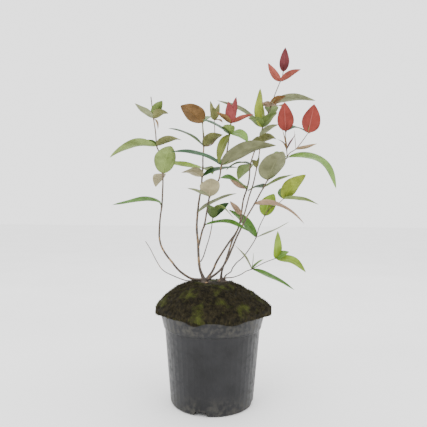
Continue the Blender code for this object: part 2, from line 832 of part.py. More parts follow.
def main():
    """Build the pot, the soil, the woody stems and the masses of leaves, in that order."""
    clear_scene()
    plastic = material("dark_plastic", (0.06, 0.06, 0.065), 0.45)
    moss = material("moss_and_soil", (0.035, 0.03, 0.018), 0.95)
    wood = material("brown_bark", (0.12, 0.085, 0.055), 0.75)
    green = material("leaf_green", (0.17, 0.27, 0.07), 0.5)
    red = material("leaf_red", (0.22, 0.05, 0.05), 0.5)
    space = Space()
    space.add(make_pot(plastic))
    space.add(make_soil(moss))
    paths = {id(stem): Path(stem.route, stem.girth, bool(stem.crown)) for stem in STEMS}
    for name in CROWNS:
        space.add(make_crown(name, [paths[id(s)] for s in STEMS if s.crown == name], wood))
    for stem in STEMS:
        make_bare(stem, paths[id(stem)], wood, space)
    for stem in STEMS:
        make_foliage(stem, paths[id(stem)], red if stem is RED else green, space)


main()
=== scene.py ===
"""The looks of a potted tutsan: fine leaves, bark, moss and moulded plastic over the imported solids.

Sizes are in millimetres until a mesh is made. The plant's routes are laid out as on a front elevation:
across (to the right), depth (away from the front) and height, as a level eye in front of it lines them up.
"""

import json
import logging
import math
import random
from dataclasses import dataclass, field
from enum import Enum

import bmesh
import bpy
from mathutils import Matrix, Vector, noise

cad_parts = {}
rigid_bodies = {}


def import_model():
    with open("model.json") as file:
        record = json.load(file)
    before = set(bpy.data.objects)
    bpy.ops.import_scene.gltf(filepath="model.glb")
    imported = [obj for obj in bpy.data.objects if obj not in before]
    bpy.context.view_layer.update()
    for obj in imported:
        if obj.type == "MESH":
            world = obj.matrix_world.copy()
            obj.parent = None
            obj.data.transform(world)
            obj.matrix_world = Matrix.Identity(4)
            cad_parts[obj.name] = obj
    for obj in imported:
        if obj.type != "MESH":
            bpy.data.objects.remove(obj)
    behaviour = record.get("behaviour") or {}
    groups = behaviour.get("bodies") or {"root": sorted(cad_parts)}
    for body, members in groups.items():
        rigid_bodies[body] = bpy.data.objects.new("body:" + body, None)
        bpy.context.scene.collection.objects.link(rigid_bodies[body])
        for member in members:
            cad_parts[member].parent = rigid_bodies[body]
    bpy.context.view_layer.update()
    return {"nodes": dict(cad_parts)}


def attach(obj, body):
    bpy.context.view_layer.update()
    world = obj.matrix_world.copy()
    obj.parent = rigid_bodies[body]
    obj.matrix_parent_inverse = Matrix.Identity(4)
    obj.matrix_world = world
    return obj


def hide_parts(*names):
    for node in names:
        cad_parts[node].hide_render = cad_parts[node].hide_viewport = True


LOG = logging.getLogger("potted_tutsan")
MM = 0.001
SEED = 17
BODY = "root"
Colour = tuple[float, float, float]
Place = tuple[float, float, float]

# The eye that lines up the elevation, and the lens that gives its view
EYE_DISTANCE = 651.0
EYE_HEIGHT = 269.0
LENS = 37.94
SENSOR = 36.0
ROLL = 0.5

# Stems
STEM_STEP = 2.0
STEM_SIDES = 14
STEM_TAPER = 0.8
FOOT_FLARE = 0.7
FOOT_FLARE_LENGTH = 5.0
JOINT_SWELL = 0.28
JOINT_LENGTH = 1.8
BARK_RELIEF = 0.16
BARK_GRAIN = Vector((1.3, 1.3, 0.35))

# Leaves: the outline, the cup and ripple of the blade, and the rib sunk in it
LEAF_PEAK = 0.38
LEAF_LENGTHS = 22
LEAF_HALVES = 6
LEAF_TWIST = 9.0
OUTLINE_FULLNESS = 0.8
ROOT_SHARE = 0.55
TIP_HALF_WIDTH = 0.05
STEEPEST = 0.35
HEADING_STEP = 0.02
CUP_POWER = 1.25
VEINS = 7.0
RIPPLE = 0.035
RIPPLES = 9
RIPPLE_LAG = 0.9
QUILT = 0.012
QUILT_SLANT = 0.17
BLADE_THICKNESS = 0.16
RIB_THICKNESS = 0.9
RIB_DEPTH = 0.25
RIB_WIDTH = 0.12
RIB_FADE = 0.7
RIB_BULGE = 0.8
EDGE_SHARE = 0.4

# The pot's rim and the mound on it
SOIL_TOP = 170.0
SOIL_TOP_RADIUS = 22.0
MAT_RADIUS = 77.0
MAT_DROP = 1.2
MAT_THICKNESS = 5.0
RIM_RADIUS = 75.2
RIM_HEIGHT = 129.0
GAP = 0.3


class Tint(Enum):
    """The plain colours that leaves are dealt: the upper side and the underside, in linear light. One of them
    is a darkened green that paints shade on leaves lying in shadow.
    """

    MID = ((0.046, 0.126, 0.006), (0.127, 0.180, 0.039))
    LIGHT = ((0.110, 0.205, 0.030), (0.175, 0.237, 0.061))
    # A darkened green for leaves that lie in shadow: painted shade.
    DARK = ((0.012, 0.045, 0.006), (0.068, 0.103, 0.024))
    YELLOW = ((0.150, 0.235, 0.010), (0.216, 0.269, 0.023))
    OLIVE = ((0.091, 0.109, 0.006), (0.157, 0.157, 0.052))
    GREY = ((0.141, 0.185, 0.062), (0.197, 0.214, 0.109))
    SAGE = ((0.105, 0.125, 0.038), (0.150, 0.155, 0.075))
    PALE = ((0.228, 0.219, 0.079), (0.296, 0.261, 0.146))
    PINK = ((0.260, 0.163, 0.075), (0.311, 0.206, 0.127))
    BLUE = ((0.024, 0.072, 0.028), (0.084, 0.128, 0.066))
    BROWN = ((0.115, 0.049, 0.006), (0.169, 0.089, 0.028))
    RED = ((0.181, 0.018, 0.009), (0.258, 0.056, 0.038))
    CRIMSON = ((0.095, 0.006, 0.009), (0.200, 0.033, 0.033))

@dataclass(frozen=True)
class Tuft:
    """A place where the moss mat hangs over the rim."""

    heading: float
    spread: float
    reach: float
    drop: float


@dataclass(frozen=True)
class Leaf:
    """One leaf: its place on the route, the reach from there to its tip, and its tint."""

    at: int
    reach: Place
    width: float
    arch: float = 3.0
    face: float = 0.0
    fold: float = 14.0
    crest: float = 0.5
    tint: Tint = Tint.MID


@dataclass(frozen=True)
class Twig:
    """A side twig, from a place on its stem's route."""

    at: int
    girth: tuple[float, float]
    route: tuple[Place, ...]
    leaves: tuple[Leaf, ...] = ()


@dataclass(frozen=True)
class Stem:
    """A stem from its foot to its tip. Its lengths are (node, first place, last place)."""

    girth: tuple[float, float]
    route: tuple[Place, ...]
    bare: tuple[tuple[str, int, int], ...] = ()
    leafy: tuple[tuple[str, int, int], ...] = ()
    leaves: tuple[Leaf, ...] = ()
    twigs: tuple[Twig, ...] = ()
    crown: str = ""


TUFTS = (
    Tuft(heading=4, spread=24, reach=8.5, drop=5.0),
    Tuft(heading=180, spread=20, reach=5.5, drop=4.5),
    Tuft(heading=252, spread=9, reach=1.5, drop=5.0),
    Tuft(heading=290, spread=12, reach=1.5, drop=4.0),
    Tuft(heading=120, spread=26, reach=3.0, drop=3.0),
    Tuft(heading=60, spread=18, reach=2.0, drop=2.0),
)

# Each root crown: where it stands across and in depth, and its radius
CROWNS = {
    "root_crown_left": (-11.5, -2.5, 9.5),
    "root_crown_right": (13.0, 4.5, 8.0),
}

LEFT = Stem(
    crown="root_crown_left",
    girth=(3.6, 1.5),
    route=(
        (-13, -4, 173), (-28, -8, 174), (-38, -11, 178), (-50, -14, 187), (-60, -17, 199),
        (-68, -18, 209), (-75, -19, 221), (-78, -20, 234), (-78, -20, 246), (-77, -20, 263),
        (-75, -20, 278), (-74, -18, 296), (-74, -16, 326), (-79, -13, 355), (-83, -12, 366),
        (-85, -10, 387), (-88, -9, 406), (-90, -8, 421), (-92, -7, 437),
    ),
    bare=(("left_stem_arch", 0, 6), ("left_stem_upright", 6, 9)),
    leafy=(("left_foliage", 9, 18),),
    leaves=(
        Leaf(10, (-70, -6, 2), 24, 8, 14, crest=0.22, tint=Tint.MID),
        Leaf(12, (-13, 24, -18), 19, 3, 0, tint=Tint.PALE),
        Leaf(12, (15, -34, 35), 31, 6, -15, tint=Tint.LIGHT),
        Leaf(14, (-65, -12, -19), 24, 9, -18, tint=Tint.LIGHT),
        Leaf(14, (38, -30, 4), 16, 5, -20, tint=Tint.OLIVE),
        Leaf(14, (-13, -6, 8), 8, 1, -30, tint=Tint.DARK),
        Leaf(16, (-25, -14, 18), 15, -2, -25, fold=30, tint=Tint.GREY),
        Leaf(16, (15, -22, 20), 15, 3, -20, tint=Tint.MID),
        Leaf(16, (23, -14, 4), 14, 5, -25, tint=Tint.OLIVE),
        Leaf(16, (7, -5, -17), 5, 3, 0, tint=Tint.PINK),
        Leaf(16, (3, 24, 12), 14, 2, 0, tint=Tint.MID),
    ),
)

MIDDLE = Stem(
    crown="root_crown_left",
    girth=(4.4, 1.8),
    route=(
        (-13, 0, 173), (-15, 1, 178), (-19, 2, 189), (-21, 4, 206), (-22, 5, 226),
        (-24, 8, 247), (-23, 11, 270), (-21, 13, 288), (-18, 15, 307), (-17, 17, 322),
        (-16, 18, 335), (-16, 20, 349), (-15, 22, 366), (-16, 24, 384), (-17, 25, 400),
    ),
    bare=(("middle_stem", 0, 5),),
    leafy=(("middle_foliage", 5, 14),),
    leaves=(
        Leaf(6, (57, 14, 29), 22, 3, -22, tint=Tint.GREY),
        Leaf(9, (-28, -30, 3), 22, 4, -20, tint=Tint.PALE),
        Leaf(9, (52, 12, 15), 20, 4, 20, tint=Tint.DARK),
        Leaf(10, (-64, -16, 10), 25, -3, 22, tint=Tint.YELLOW),
        Leaf(10, (14, 40, -6), 22, 3, 0, tint=Tint.MID),
        Leaf(12, (-50, -14, 23), 20, 5, 20, tint=Tint.DARK),
        Leaf(12, (27, -18, 14), 20, 4, -25, tint=Tint.OLIVE),
        Leaf(14, (-30, -28, 18), 30, 3, -35, tint=Tint.BROWN),
        Leaf(14, (16, 25, 15), 24, 3, 0, tint=Tint.MID),
        Leaf(14, (4, -6, -27), 9, 2, 0, tint=Tint.OLIVE),
    ),
    twigs=(
        Twig(
            at=12,
            girth=(1.6, 1.2),
            route=((-7, 20, 367), (-1, 18, 371), (1, 16, 378), (0, 13, 404)),
            leaves=(
                Leaf(4, (-6, -4, 27), 8, 0, -80, tint=Tint.OLIVE),
                Leaf(4, (7, -4, 24), 9, 0, -80, tint=Tint.OLIVE),
                Leaf(4, (12, -8, -5), 8, 2, 20, tint=Tint.BROWN),
                Leaf(4, (-1, -16, 15), 12, 1, 0, tint=Tint.OLIVE),
            ),
        ),
    ),
)

FRONT = Stem(
    girth=(3.0, 1.8),
    route=(
        (-21, 1, 222), (-16, -4, 244), (-13, -7, 252), (-10, -12, 270), (-6, -18, 293),
        (1, -21, 307), (8, -24, 320), (11, -28, 339), (17, -30, 352), (20, -32, 367),
        (22, -35, 384), (24, -37, 400),
    ),
    bare=(("front_stem", 0, 1),),
    leafy=(("front_foliage", 1, 11),),
    leaves=(
        Leaf(2, (63, -22, -8), 22, 8, 15, tint=Tint.MID),
        Leaf(4, (-32, -6, 12), 10, 1, -20, tint=Tint.GREY),
        Leaf(4, (2, -36, 24), 29, 3, 0, tint=Tint.PALE),
        Leaf(7, (77, -14, 27), 30, 8, -32, tint=Tint.SAGE),
        Leaf(7, (-72, -12, 17), 22, 6, 22, tint=Tint.BLUE),
        Leaf(7, (9, 22, 10), 22, 3, 0, tint=Tint.MID),
        Leaf(10, (-39, -12, 18), 19, 2, 25, tint=Tint.BLUE),
        Leaf(10, (25, -24, -15), 20, 5, 25, tint=Tint.LIGHT),
        Leaf(10, (-15, -16, -44), 18, 4, 0, tint=Tint.OLIVE),
        Leaf(10, (-5, -24, 9), 18, 2, 0, tint=Tint.LIGHT),
        Leaf(11, (-4, -6, 30), 14, 2, -80, tint=Tint.CRIMSON),
        Leaf(11, (7, -12, 35), 15, 2, -80, tint=Tint.CRIMSON),
        Leaf(11, (32, -10, 11), 9, 1, -30, tint=Tint.RED),
        Leaf(11, (-21, -8, 14), 9, 1, -30, tint=Tint.BROWN),
    ),
)

TALL = Stem(
    crown="root_crown_left",
    girth=(3.6, 1.3),
    route=(
        (-10, -2, 173), (-6, 0, 178), (0, 1, 187), (5, 3, 199), (14, 5, 214),
        (24, 7, 229), (32, 8, 240), (37, 9, 251), (40, 11, 267), (43, 13, 289),
        (48, 15, 305), (51, 17, 319), (53, 20, 341), (59, 23, 361), (66, 26, 381),
        (70, 27, 394), (75, 28, 408), (82, 29, 425), (87, 29, 441), (95, 29, 461),
        (98, 29, 469), (99, 29, 475),
    ),
    bare=(("tall_stem", 0, 7),),
    leafy=(("tall_lower_foliage", 7, 13), ("tall_top_foliage", 13, 21)),
    leaves=(
        Leaf(8, (-17, -10, 20), 10, 0, -30, tint=Tint.PINK),
        Leaf(10, (-39, -30, 13), 26, 5, 25, tint=Tint.MID),
        Leaf(10, (-26, -14, 14), 10, -2, -30, tint=Tint.PINK),
        Leaf(12, (-35, 16, -8), 16, 6, 10, tint=Tint.DARK),
        Leaf(12, (-15, 45, -20), 24, 3, 0, tint=Tint.MID),
        Leaf(14, (25, -12, 15), 12, 3, -25, tint=Tint.GREY),
        Leaf(15, (-6, -20, 51), 28, -2, -70, tint=Tint.YELLOW),
        Leaf(15, (-23, -24, 9), 18, 3, -10, tint=Tint.MID),
        Leaf(15, (18, -22, 17), 18, 3, -10, tint=Tint.MID),
        Leaf(15, (-66, 10, 41), 14, 6, -20, tint=Tint.GREY),
        Leaf(15, (-10, 42, 22), 26, 3, 0, tint=Tint.MID),
        Leaf(17, (19, -12, 11), 14, 3, -30, tint=Tint.BROWN),
        Leaf(17, (62, -10, 6), 20, 8, -22, crest=0.4, tint=Tint.GREY),
        Leaf(17, (17, -28, -9), 24, 2, 0, tint=Tint.PINK),
        Leaf(17, (-17, -14, 0), 12, 1, -30, tint=Tint.PINK),
        Leaf(17, (6, 36, -9), 22, 3, 0, tint=Tint.MID),
        Leaf(19, (-19, -8, 24), 12, -2, -40, tint=Tint.RED),
        Leaf(19, (28, -8, 15), 12, 2, -35, tint=Tint.RED),
        Leaf(21, (2, -6, 33), 15.5, 0, 85, tint=Tint.CRIMSON),
        Leaf(21, (0, 14, 28), 14, 0, 85, tint=Tint.RED),
    ),
)

SLIM = Stem(
    crown="root_crown_right",
    girth=(3.2, 1.6),
    route=(
        (12, 4, 173), (12, 4, 180), (14, 3, 190), (19, 2, 203), (24, 1, 219),
        (28, 0, 231), (34, -1, 243), (39, -2, 256), (45, -3, 270), (51, -5, 293),
        (57, -6, 312), (62, -8, 336), (65, -9, 353), (67, -10, 372),
    ),
    bare=(("slim_stem", 0, 10),),
    leafy=(("slim_foliage", 10, 13),),
    leaves=(
        Leaf(11, (-8, -10, 10), 9, 2, -20, tint=Tint.OLIVE),
        Leaf(11, (3, -8, 15), 6, 1, 0, tint=Tint.GREY),
        Leaf(13, (-19, -10, -7), 20, 4, -20, tint=Tint.OLIVE),
        Leaf(13, (21, -14, 3), 18, 5, -20, tint=Tint.OLIVE),
        Leaf(13, (-3, 22, 6), 20, 3, 0, tint=Tint.MID),
    ),
)

VEE = Stem(
    girth=(1.8, 1.4),
    route=(
        (-18, 0, 199), (-14, -1, 207), (-10, -1, 220), (-6, -1, 233), (-3, -2, 247), (-1, -3, 262),
    ),
    bare=(("vee_stem", 0, 4),),
    leafy=(("vee_foliage", 4, 5),),
    leaves=(
        Leaf(5, (30, -16, 0), 14, 16, -15, crest=0.35, tint=Tint.LIGHT),
        Leaf(5, (-5, -26, 19), 17, 3, 10, tint=Tint.DARK),
        Leaf(5, (24, 20, 23), 18, 3, 20, tint=Tint.DARK),
    ),
)

RIGHT = Stem(
    crown="root_crown_left",
    girth=(3.6, 1.6),
    route=(
        (-9, -7, 173), (-1, -8, 178), (7, -9, 184), (14, -10, 192), (21, -11, 204),
        (27, -12, 218), (33, -12, 233), (40, -13, 248), (48, -14, 264), (59, -16, 283),
        (68, -18, 300), (72, -18, 307), (78, -20, 318), (90, -23, 334), (106, -26, 351),
    ),
    bare=(("right_stem", 0, 8),),
    leafy=(("right_foliage", 8, 14),),
    leaves=(
        Leaf(9, (67, -26, -27), 22, 10, -22, tint=Tint.PINK),
        Leaf(11, (-20, 30, -4), 20, 3, 20, tint=Tint.DARK),
        Leaf(11, (40, -16, 18), 16, 1, 25, tint=Tint.GREY),
        Leaf(12, (15, -42, 36), 39, 4, 0, tint=Tint.SAGE),
        Leaf(12, (7, 40, 20), 28, 4, 0, tint=Tint.MID),
        Leaf(14, (64, -26, -46), 26, 19, 22, tint=Tint.LIGHT),
        Leaf(14, (-23, -14, 3), 14, 2, 25, tint=Tint.LIGHT),
    ),
)

RED = Stem(
    girth=(1.5, 1.1),
    route=((106, -26, 352), (105, -26, 362), (104, -26, 372), (103, -26, 389)),
    leafy=(("red_foliage", 0, 3),),
    leaves=(
        Leaf(1, (-7, -6, 27), 8, 1, 0, tint=Tint.BROWN),
        Leaf(1, (-14, -6, 14), 4, 3, 0, tint=Tint.BROWN),
        Leaf(1, (12, -4, 22), 8, 0, 30, tint=Tint.CRIMSON),
        Leaf(3, (-3, -8, 40), 24, 0, 85, tint=Tint.RED),
        Leaf(3, (34, 12, 0), 17, 6, 20, tint=Tint.BLUE),
        Leaf(3, (0, 22, 33), 20, 0, 80, tint=Tint.RED),
    ),
    twigs=(
        Twig(
            at=0,
            girth=(1.4, 1.1),
            route=((110, -28, 358), (118, -30, 363), (127, -32, 374), (136, -35, 387)),
            leaves=(
                Leaf(2, (29, -8, 7), 8, -1, -30, tint=Tint.PINK),
                Leaf(2, (-3, -3, 27), 2, 1, 0, tint=Tint.BROWN),
                Leaf(4, (7, -6, 40), 27, 0, 85, tint=Tint.RED),
                Leaf(4, (20, 12, 26), 16, 0, -60, tint=Tint.OLIVE),
            ),
        ),
    ),
)

BACK = Stem(
    crown="root_crown_right",
    girth=(2.0, 1.1),
    route=(
        (15, 8, 173), (19, 10, 180), (26, 12, 185), (28, 13, 190), (34, 15, 198),
        (44, 18, 207), (54, 21, 221), (62, 24, 235), (66, 27, 249), (74, 30, 266),
        (82, 31, 278), (93, 33, 284), (101, 34, 291),
    ),
    bare=(("back_stem", 0, 6),),
    leafy=(("back_foliage", 6, 12),),
    leaves=(
        Leaf(7, (45, -14, 23), 14, -2, 5, tint=Tint.GREY),
        Leaf(7, (-40, 14, 40), 22, 4, 25, tint=Tint.MID),
        Leaf(9, (16, 18, 33), 25, 3, 30, tint=Tint.YELLOW),
        Leaf(12, (29, -16, 34), 27, 3, -40, tint=Tint.YELLOW),
        Leaf(12, (48, -12, -8), 20, 3, -20, tint=Tint.LIGHT),
        Leaf(12, (10, 30, 19), 22, 3, 0, tint=Tint.MID),
    ),
)

LOW = Stem(
    crown="root_crown_right",
    girth=(1.7, 1.1),
    route=(
        (15, 1, 173), (19, -2, 176), (29, -5, 177), (40, -9, 181), (48, -12, 186),
        (56, -14, 189), (71, -20, 197), (80, -23, 201), (91, -26, 205),
    ),
    bare=(("low_stem", 0, 4),),
    leafy=(("low_foliage", 4, 8),),
    leaves=(
        Leaf(5, (-25, -10, 35), 14, 2, 15, tint=Tint.GREY),
        Leaf(5, (59, -16, -27), 16, 2, 15, tint=Tint.MID),
        Leaf(5, (2, -4, 24), 4, 3, 0, tint=Tint.MID),
        Leaf(5, (16, -8, 15), 9, 1, 30, tint=Tint.LIGHT),
        Leaf(8, (0, -14, 40), 15, 2, 60, tint=Tint.YELLOW),
        Leaf(8, (18, -6, 10), 12, 1, 60, tint=Tint.LIGHT),
        Leaf(8, (40, -16, -18), 17, 6, 35, tint=Tint.YELLOW),
    ),
)

STALK = Stem(
    girth=(1.8, 1.0),
    route=(
        (-30, -12, 169), (-31, -12, 171), (-40, -14, 172), (-54, -18, 177), (-72, -22, 186),
        (-82, -24, 200), (-91, -26, 217), (-98, -27, 228),
    ),
    bare=(("bare_stalk", 0, 7),),
)

STEMS = {
    "left": LEFT,
    "middle": MIDDLE,
    "front": FRONT,
    "tall": TALL,
    "slim": SLIM,
    "vee": VEE,
    "right": RIGHT,
    "red": RED,
    "back": BACK,
    "low": LOW,
    "stalk": STALK,
}


@dataclass(frozen=True)
class Patches:
    """Patches of noise: their scale and detail, where they begin and are full, and how strong they are."""

    scale: float
    low: float
    high: float
    detail: float = 4.0
    share: float = 1.0


class Nodes:
    """Short calls for building one material's nodes."""

    def __init__(self, name: str) -> None:
        """Start a Principled material.

        Args:
            name: the material's name.
        """
        self.material = bpy.data.materials.new(name)
        self.material.use_nodes = True
        self.tree = self.material.node_tree
        self.shader = self.tree.nodes["Principled BSDF"]

    def add(self, kind: str, **settings: object) -> bpy.types.Node:
        """Add a node.

        Args:
            kind: the node's type.
            settings: its properties by name.

        Returns:
            The new node.
        """
        made = self.tree.nodes.new(kind)
        for key, value in settings.items():
            setattr(made, key, value)
        return made

    def link(self, source: bpy.types.NodeSocket, target: bpy.types.NodeSocket) -> None:
        """Link one socket to another."""
        self.tree.links.new(source, target)

    def sheen(self, level: float) -> None:
        """Set how much the surface mirrors when seen straight on."""
        self.shader.inputs["Specular IOR Level"].default_value = level

    def math(self, operation: str, first: object, second: object = 0.0) -> bpy.types.NodeSocket:
        """One sum on sockets or numbers.

        Args:
            operation: the Math node's operation.
            first: a socket or a number.
            second: a socket or a number.

        Returns:
            The socket that holds the answer.
        """
        made = self.add("ShaderNodeMath", operation=operation)
        for socket, value in zip(made.inputs, (first, second)):
            if isinstance(value, (int, float)):
                socket.default_value = value
            else:
                self.link(value, socket)
        return made.outputs[0]

    def place(self) -> bpy.types.NodeSocket:
        """The point of the surface in the object's own space, in metres."""
        return self.add("ShaderNodeTexCoord").outputs["Object"]

    def height(self) -> bpy.types.NodeSocket:
        """How high the point of the surface lies.

        Returns:
            The socket of its height in metres.
        """
        parts = self.add("ShaderNodeSeparateXYZ")
        self.link(self.place(), parts.inputs["Vector"])
        return parts.outputs["Z"]

    def noise(self, scale: float, detail: float = 4.0) -> bpy.types.NodeSocket:
        """A noise in the object's own space.

        Args:
            scale: how many swells to a metre.
            detail: how many finer octaves lie on top.

        Returns:
            The socket of its value, about one half.
        """
        made = self.add("ShaderNodeTexNoise")
        made.inputs["Scale"].default_value = scale
        made.inputs["Detail"].default_value = detail
        self.link(self.place(), made.inputs["Vector"])
        return made.outputs["Fac"]

    def ramp(self, value: bpy.types.NodeSocket, low: float, high: float) -> bpy.types.NodeSocket:
        """Spread the stretch from low to high over 0 to 1, with the ends held.

        Args:
            value: the socket to spread.
            low: the value that becomes 0.
            high: the value that becomes 1.

        Returns:
            The socket of the spread value.
        """
        made = self.add("ShaderNodeMapRange")
        made.inputs["From Min"].default_value = low
        made.inputs["From Max"].default_value = high
        self.link(value, made.inputs["Value"])
        return made.outputs["Result"]

    def patches(self, spread: Patches) -> bpy.types.NodeSocket:
        """Where patches of noise lie, as a share."""
        found = self.ramp(self.noise(spread.scale, spread.detail), spread.low, spread.high)
        return found if spread.share == 1.0 else self.math("MULTIPLY", found, spread.share)

    def mix(self, share: object, first: object, second: object) -> bpy.types.NodeSocket:
        """Mix two colours.

        Args:
            share: how much of the second, a socket or a number.
            first: a colour or a socket.
            second: a colour or a socket.

        Returns:
            The mixed colour's socket.
        """
        made = self.add("ShaderNodeMix", data_type="RGBA")
        for socket, value in ((made.inputs[0], share), (made.inputs[6], first), (made.inputs[7], second)):
            if isinstance(value, bpy.types.NodeSocket):
                self.link(value, socket)
            elif isinstance(value, tuple):
                socket.default_value = (*value, 1.0)
            else:
                socket.default_value = value
        return made.outputs[2]

    def finish(
        self, colour: bpy.types.NodeSocket, roughness: object, relief: object = None, depth: float = 0.0
    ) -> bpy.types.Material:
        """Set the shader from what was worked out.

        Args:
            colour: the base colour's socket.
            roughness: a socket or a number.
            relief: a socket of the surface's relief, or nothing.
            depth: how deep the relief is, in metres.

        Returns:
            The finished material.
        """
        self.link(colour, self.shader.inputs["Base Color"])
        if isinstance(roughness, float):
            self.shader.inputs["Roughness"].default_value = roughness
        else:
            self.link(roughness, self.shader.inputs["Roughness"])
        if relief is not None:
            bump = self.add("ShaderNodeBump")
            bump.inputs["Strength"].default_value = 1.0
            bump.inputs["Distance"].default_value = depth
            self.link(relief, bump.inputs["Height"])
            self.link(bump.outputs["Normal"], self.shader.inputs["Normal"])
        return self.material


@dataclass(frozen=True)
class LeafFinish:
    """A leaf's skin on one side: a plain tint with a pale midrib, side veins, blotches and brown specks."""

    name: str
    colour: Colour
    rib: Colour
    vein_share: float
    roughness: float
    vein_slant: float = 0.34
    vein_edge: float = 0.47
    rib_outside: float = 0.035
    rib_inside: float = 0.012
    vein_cover: float = 0.75
    deep_share: float = 0.72
    bright_share: float = 1.22
    bright_lift: float = 0.01
    blotches: Patches = Patches(70.0, 0.35, 0.68)
    specks: Patches = Patches(900.0, 0.70, 0.76, detail=2.0, share=0.45)
    speck_colour: Colour = (0.11, 0.06, 0.025)
    gloss_scale: float = 240.0
    gloss_spread: float = 0.16
    grain_scale: float = 500.0
    grain_depth: float = 0.00022
    sheen: float = 0.25

    def veins(self, nodes: Nodes) -> bpy.types.NodeSocket:
        """Where the midrib and the side veins run.

        Args:
            nodes: the material that is being built.

        Returns:
            The socket of the share of vein.
        """
        uv = nodes.add("ShaderNodeUVMap", uv_map="LeafUV")
        parts = nodes.add("ShaderNodeSeparateXYZ")
        nodes.link(uv.outputs["UV"], parts.inputs["Vector"])
        across = nodes.math("ABSOLUTE", nodes.math("SUBTRACT", parts.outputs["X"], 0.5))
        slant = nodes.math("SUBTRACT", parts.outputs["Y"], nodes.math("MULTIPLY", across, self.vein_slant))
        phase = nodes.math("FRACT", nodes.math("MULTIPLY", slant, VEINS))
        side = nodes.ramp(nodes.math("ABSOLUTE", nodes.math("SUBTRACT", phase, 0.5)), self.vein_edge, 0.5)
        middle = nodes.ramp(across, self.rib_outside, self.rib_inside)
        return nodes.math("MAXIMUM", nodes.math("MULTIPLY", side, self.vein_share), middle)

    def make(self) -> bpy.types.Material:
        """Build the material on the leaf's own coordinates.

        Returns:
            The finished material.
        """
        nodes = Nodes(self.name)
        nodes.sheen(self.sheen)
        veins = self.veins(nodes)
        deep = tuple(c * self.deep_share for c in self.colour)
        bright = tuple(min(1.0, c * self.bright_share + self.bright_lift) for c in self.colour)
        ground = nodes.mix(nodes.patches(self.blotches), deep, bright)
        ground = nodes.mix(nodes.patches(self.specks), ground, self.speck_colour)
        skin = nodes.mix(nodes.math("MULTIPLY", veins, self.vein_cover), ground, self.rib)
        gloss = nodes.math("MULTIPLY", nodes.noise(self.gloss_scale), self.gloss_spread)
        relief = nodes.math("SUBTRACT", nodes.noise(self.grain_scale), veins)
        return nodes.finish(skin, nodes.math("ADD", self.roughness, gloss), relief, self.grain_depth)


@dataclass(frozen=True)
class BarkFinish:
    """Thin bark, darker at the foot, with tan patches and fine furrows along the stem."""

    name: str
    low: Colour
    high: Colour
    patch: Colour
    furrow: Colour = (0.030, 0.020, 0.014)
    rise_from: float = 0.18
    rise_to: float = 0.36
    grain: Place = (900.0, 900.0, 130.0)
    grain_low: float = 0.35
    grain_high: float = 0.7
    grain_depth: float = 0.0003
    patches: Patches = Patches(130.0, 0.56, 0.66, share=0.7)
    roughness: float = 0.68

    def make(self) -> bpy.types.Material:
        """Build the material.

        Returns:
            The finished material.
        """
        nodes = Nodes(self.name)
        ground = nodes.mix(nodes.ramp(nodes.height(), self.rise_from, self.rise_to), self.low, self.high)
        stretched = nodes.add("ShaderNodeMapping")
        stretched.inputs["Scale"].default_value = self.grain
        nodes.link(nodes.place(), stretched.inputs["Vector"])
        grain = nodes.add("ShaderNodeTexNoise")
        grain.inputs["Scale"].default_value = 1.0
        nodes.link(stretched.outputs["Vector"], grain.inputs["Vector"])
        streak = nodes.ramp(grain.outputs["Fac"], self.grain_low, self.grain_high)
        furrowed = nodes.mix(streak, self.furrow, ground)
        skin = nodes.mix(nodes.patches(self.patches), furrowed, self.patch)
        return nodes.finish(skin, self.roughness, grain.outputs["Fac"], self.grain_depth)


@dataclass(frozen=True)
class PlasticFinish:
    """Thin moulded plastic: charcoal, half matt, dusty low down, with painted light on the rim band, and fine
    scuffs.
    """

    name: str = "charcoal_plastic"
    dark: Colour = (0.005, 0.005, 0.0055)
    light: Colour = (0.012, 0.012, 0.0135)
    clouds: Patches = Patches(38.0, 0.30, 0.72, detail=6.0)
    mottle: Patches = Patches(160.0, 0.44, 0.66, detail=5.0)
    foot_dust_top: float = 0.030
    foot_dust_full: float = 0.004
    # Heights where the painted light on the rim band begins and is full.
    band_light_from: float = 0.104
    band_light_full: float = 0.112
    # This colour makes the foot dusty and paints light on the rim band.
    dust_and_light_share: float = 0.42
    dust_and_light: Colour = (0.085, 0.08, 0.065)
    scuffs: Patches = Patches(1300.0, 0.70, 0.76, detail=2.0, share=0.25)
    scuff: Colour = (0.15, 0.15, 0.15)
    roughness: float = 0.36
    dusty_roughness: float = 0.18
    grain: float = 2200.0
    grain_detail: float = 3.0
    grain_depth: float = 0.00006
    sheen: float = 0.28

    def make(self) -> bpy.types.Material:
        """Build the material.

        Returns:
            The finished material.
        """
        nodes = Nodes(self.name)
        nodes.sheen(self.sheen)
        ground = nodes.mix(nodes.patches(self.clouds), self.dark, self.light)
        height = nodes.height()
        foot = nodes.ramp(height, self.foot_dust_top, self.foot_dust_full)
        # The rim band is lightened with the same colour as the dusty foot: painted light.
        band = nodes.ramp(height, self.band_light_from, self.band_light_full)
        mottle = nodes.patches(self.mottle)
        dust_and_light = nodes.math("MULTIPLY", mottle, nodes.math("MAXIMUM", foot, band))
        dust_and_light = nodes.math("MULTIPLY", dust_and_light, self.dust_and_light_share)
        skin = nodes.mix(nodes.patches(self.scuffs), nodes.mix(dust_and_light, ground, self.dust_and_light), self.scuff)
        rough = nodes.math("MULTIPLY", nodes.math("ADD", mottle, dust_and_light), self.dusty_roughness)
        grain = nodes.noise(self.grain, self.grain_detail)
        return nodes.finish(skin, nodes.math("ADD", self.roughness, rough), grain, self.grain_depth)


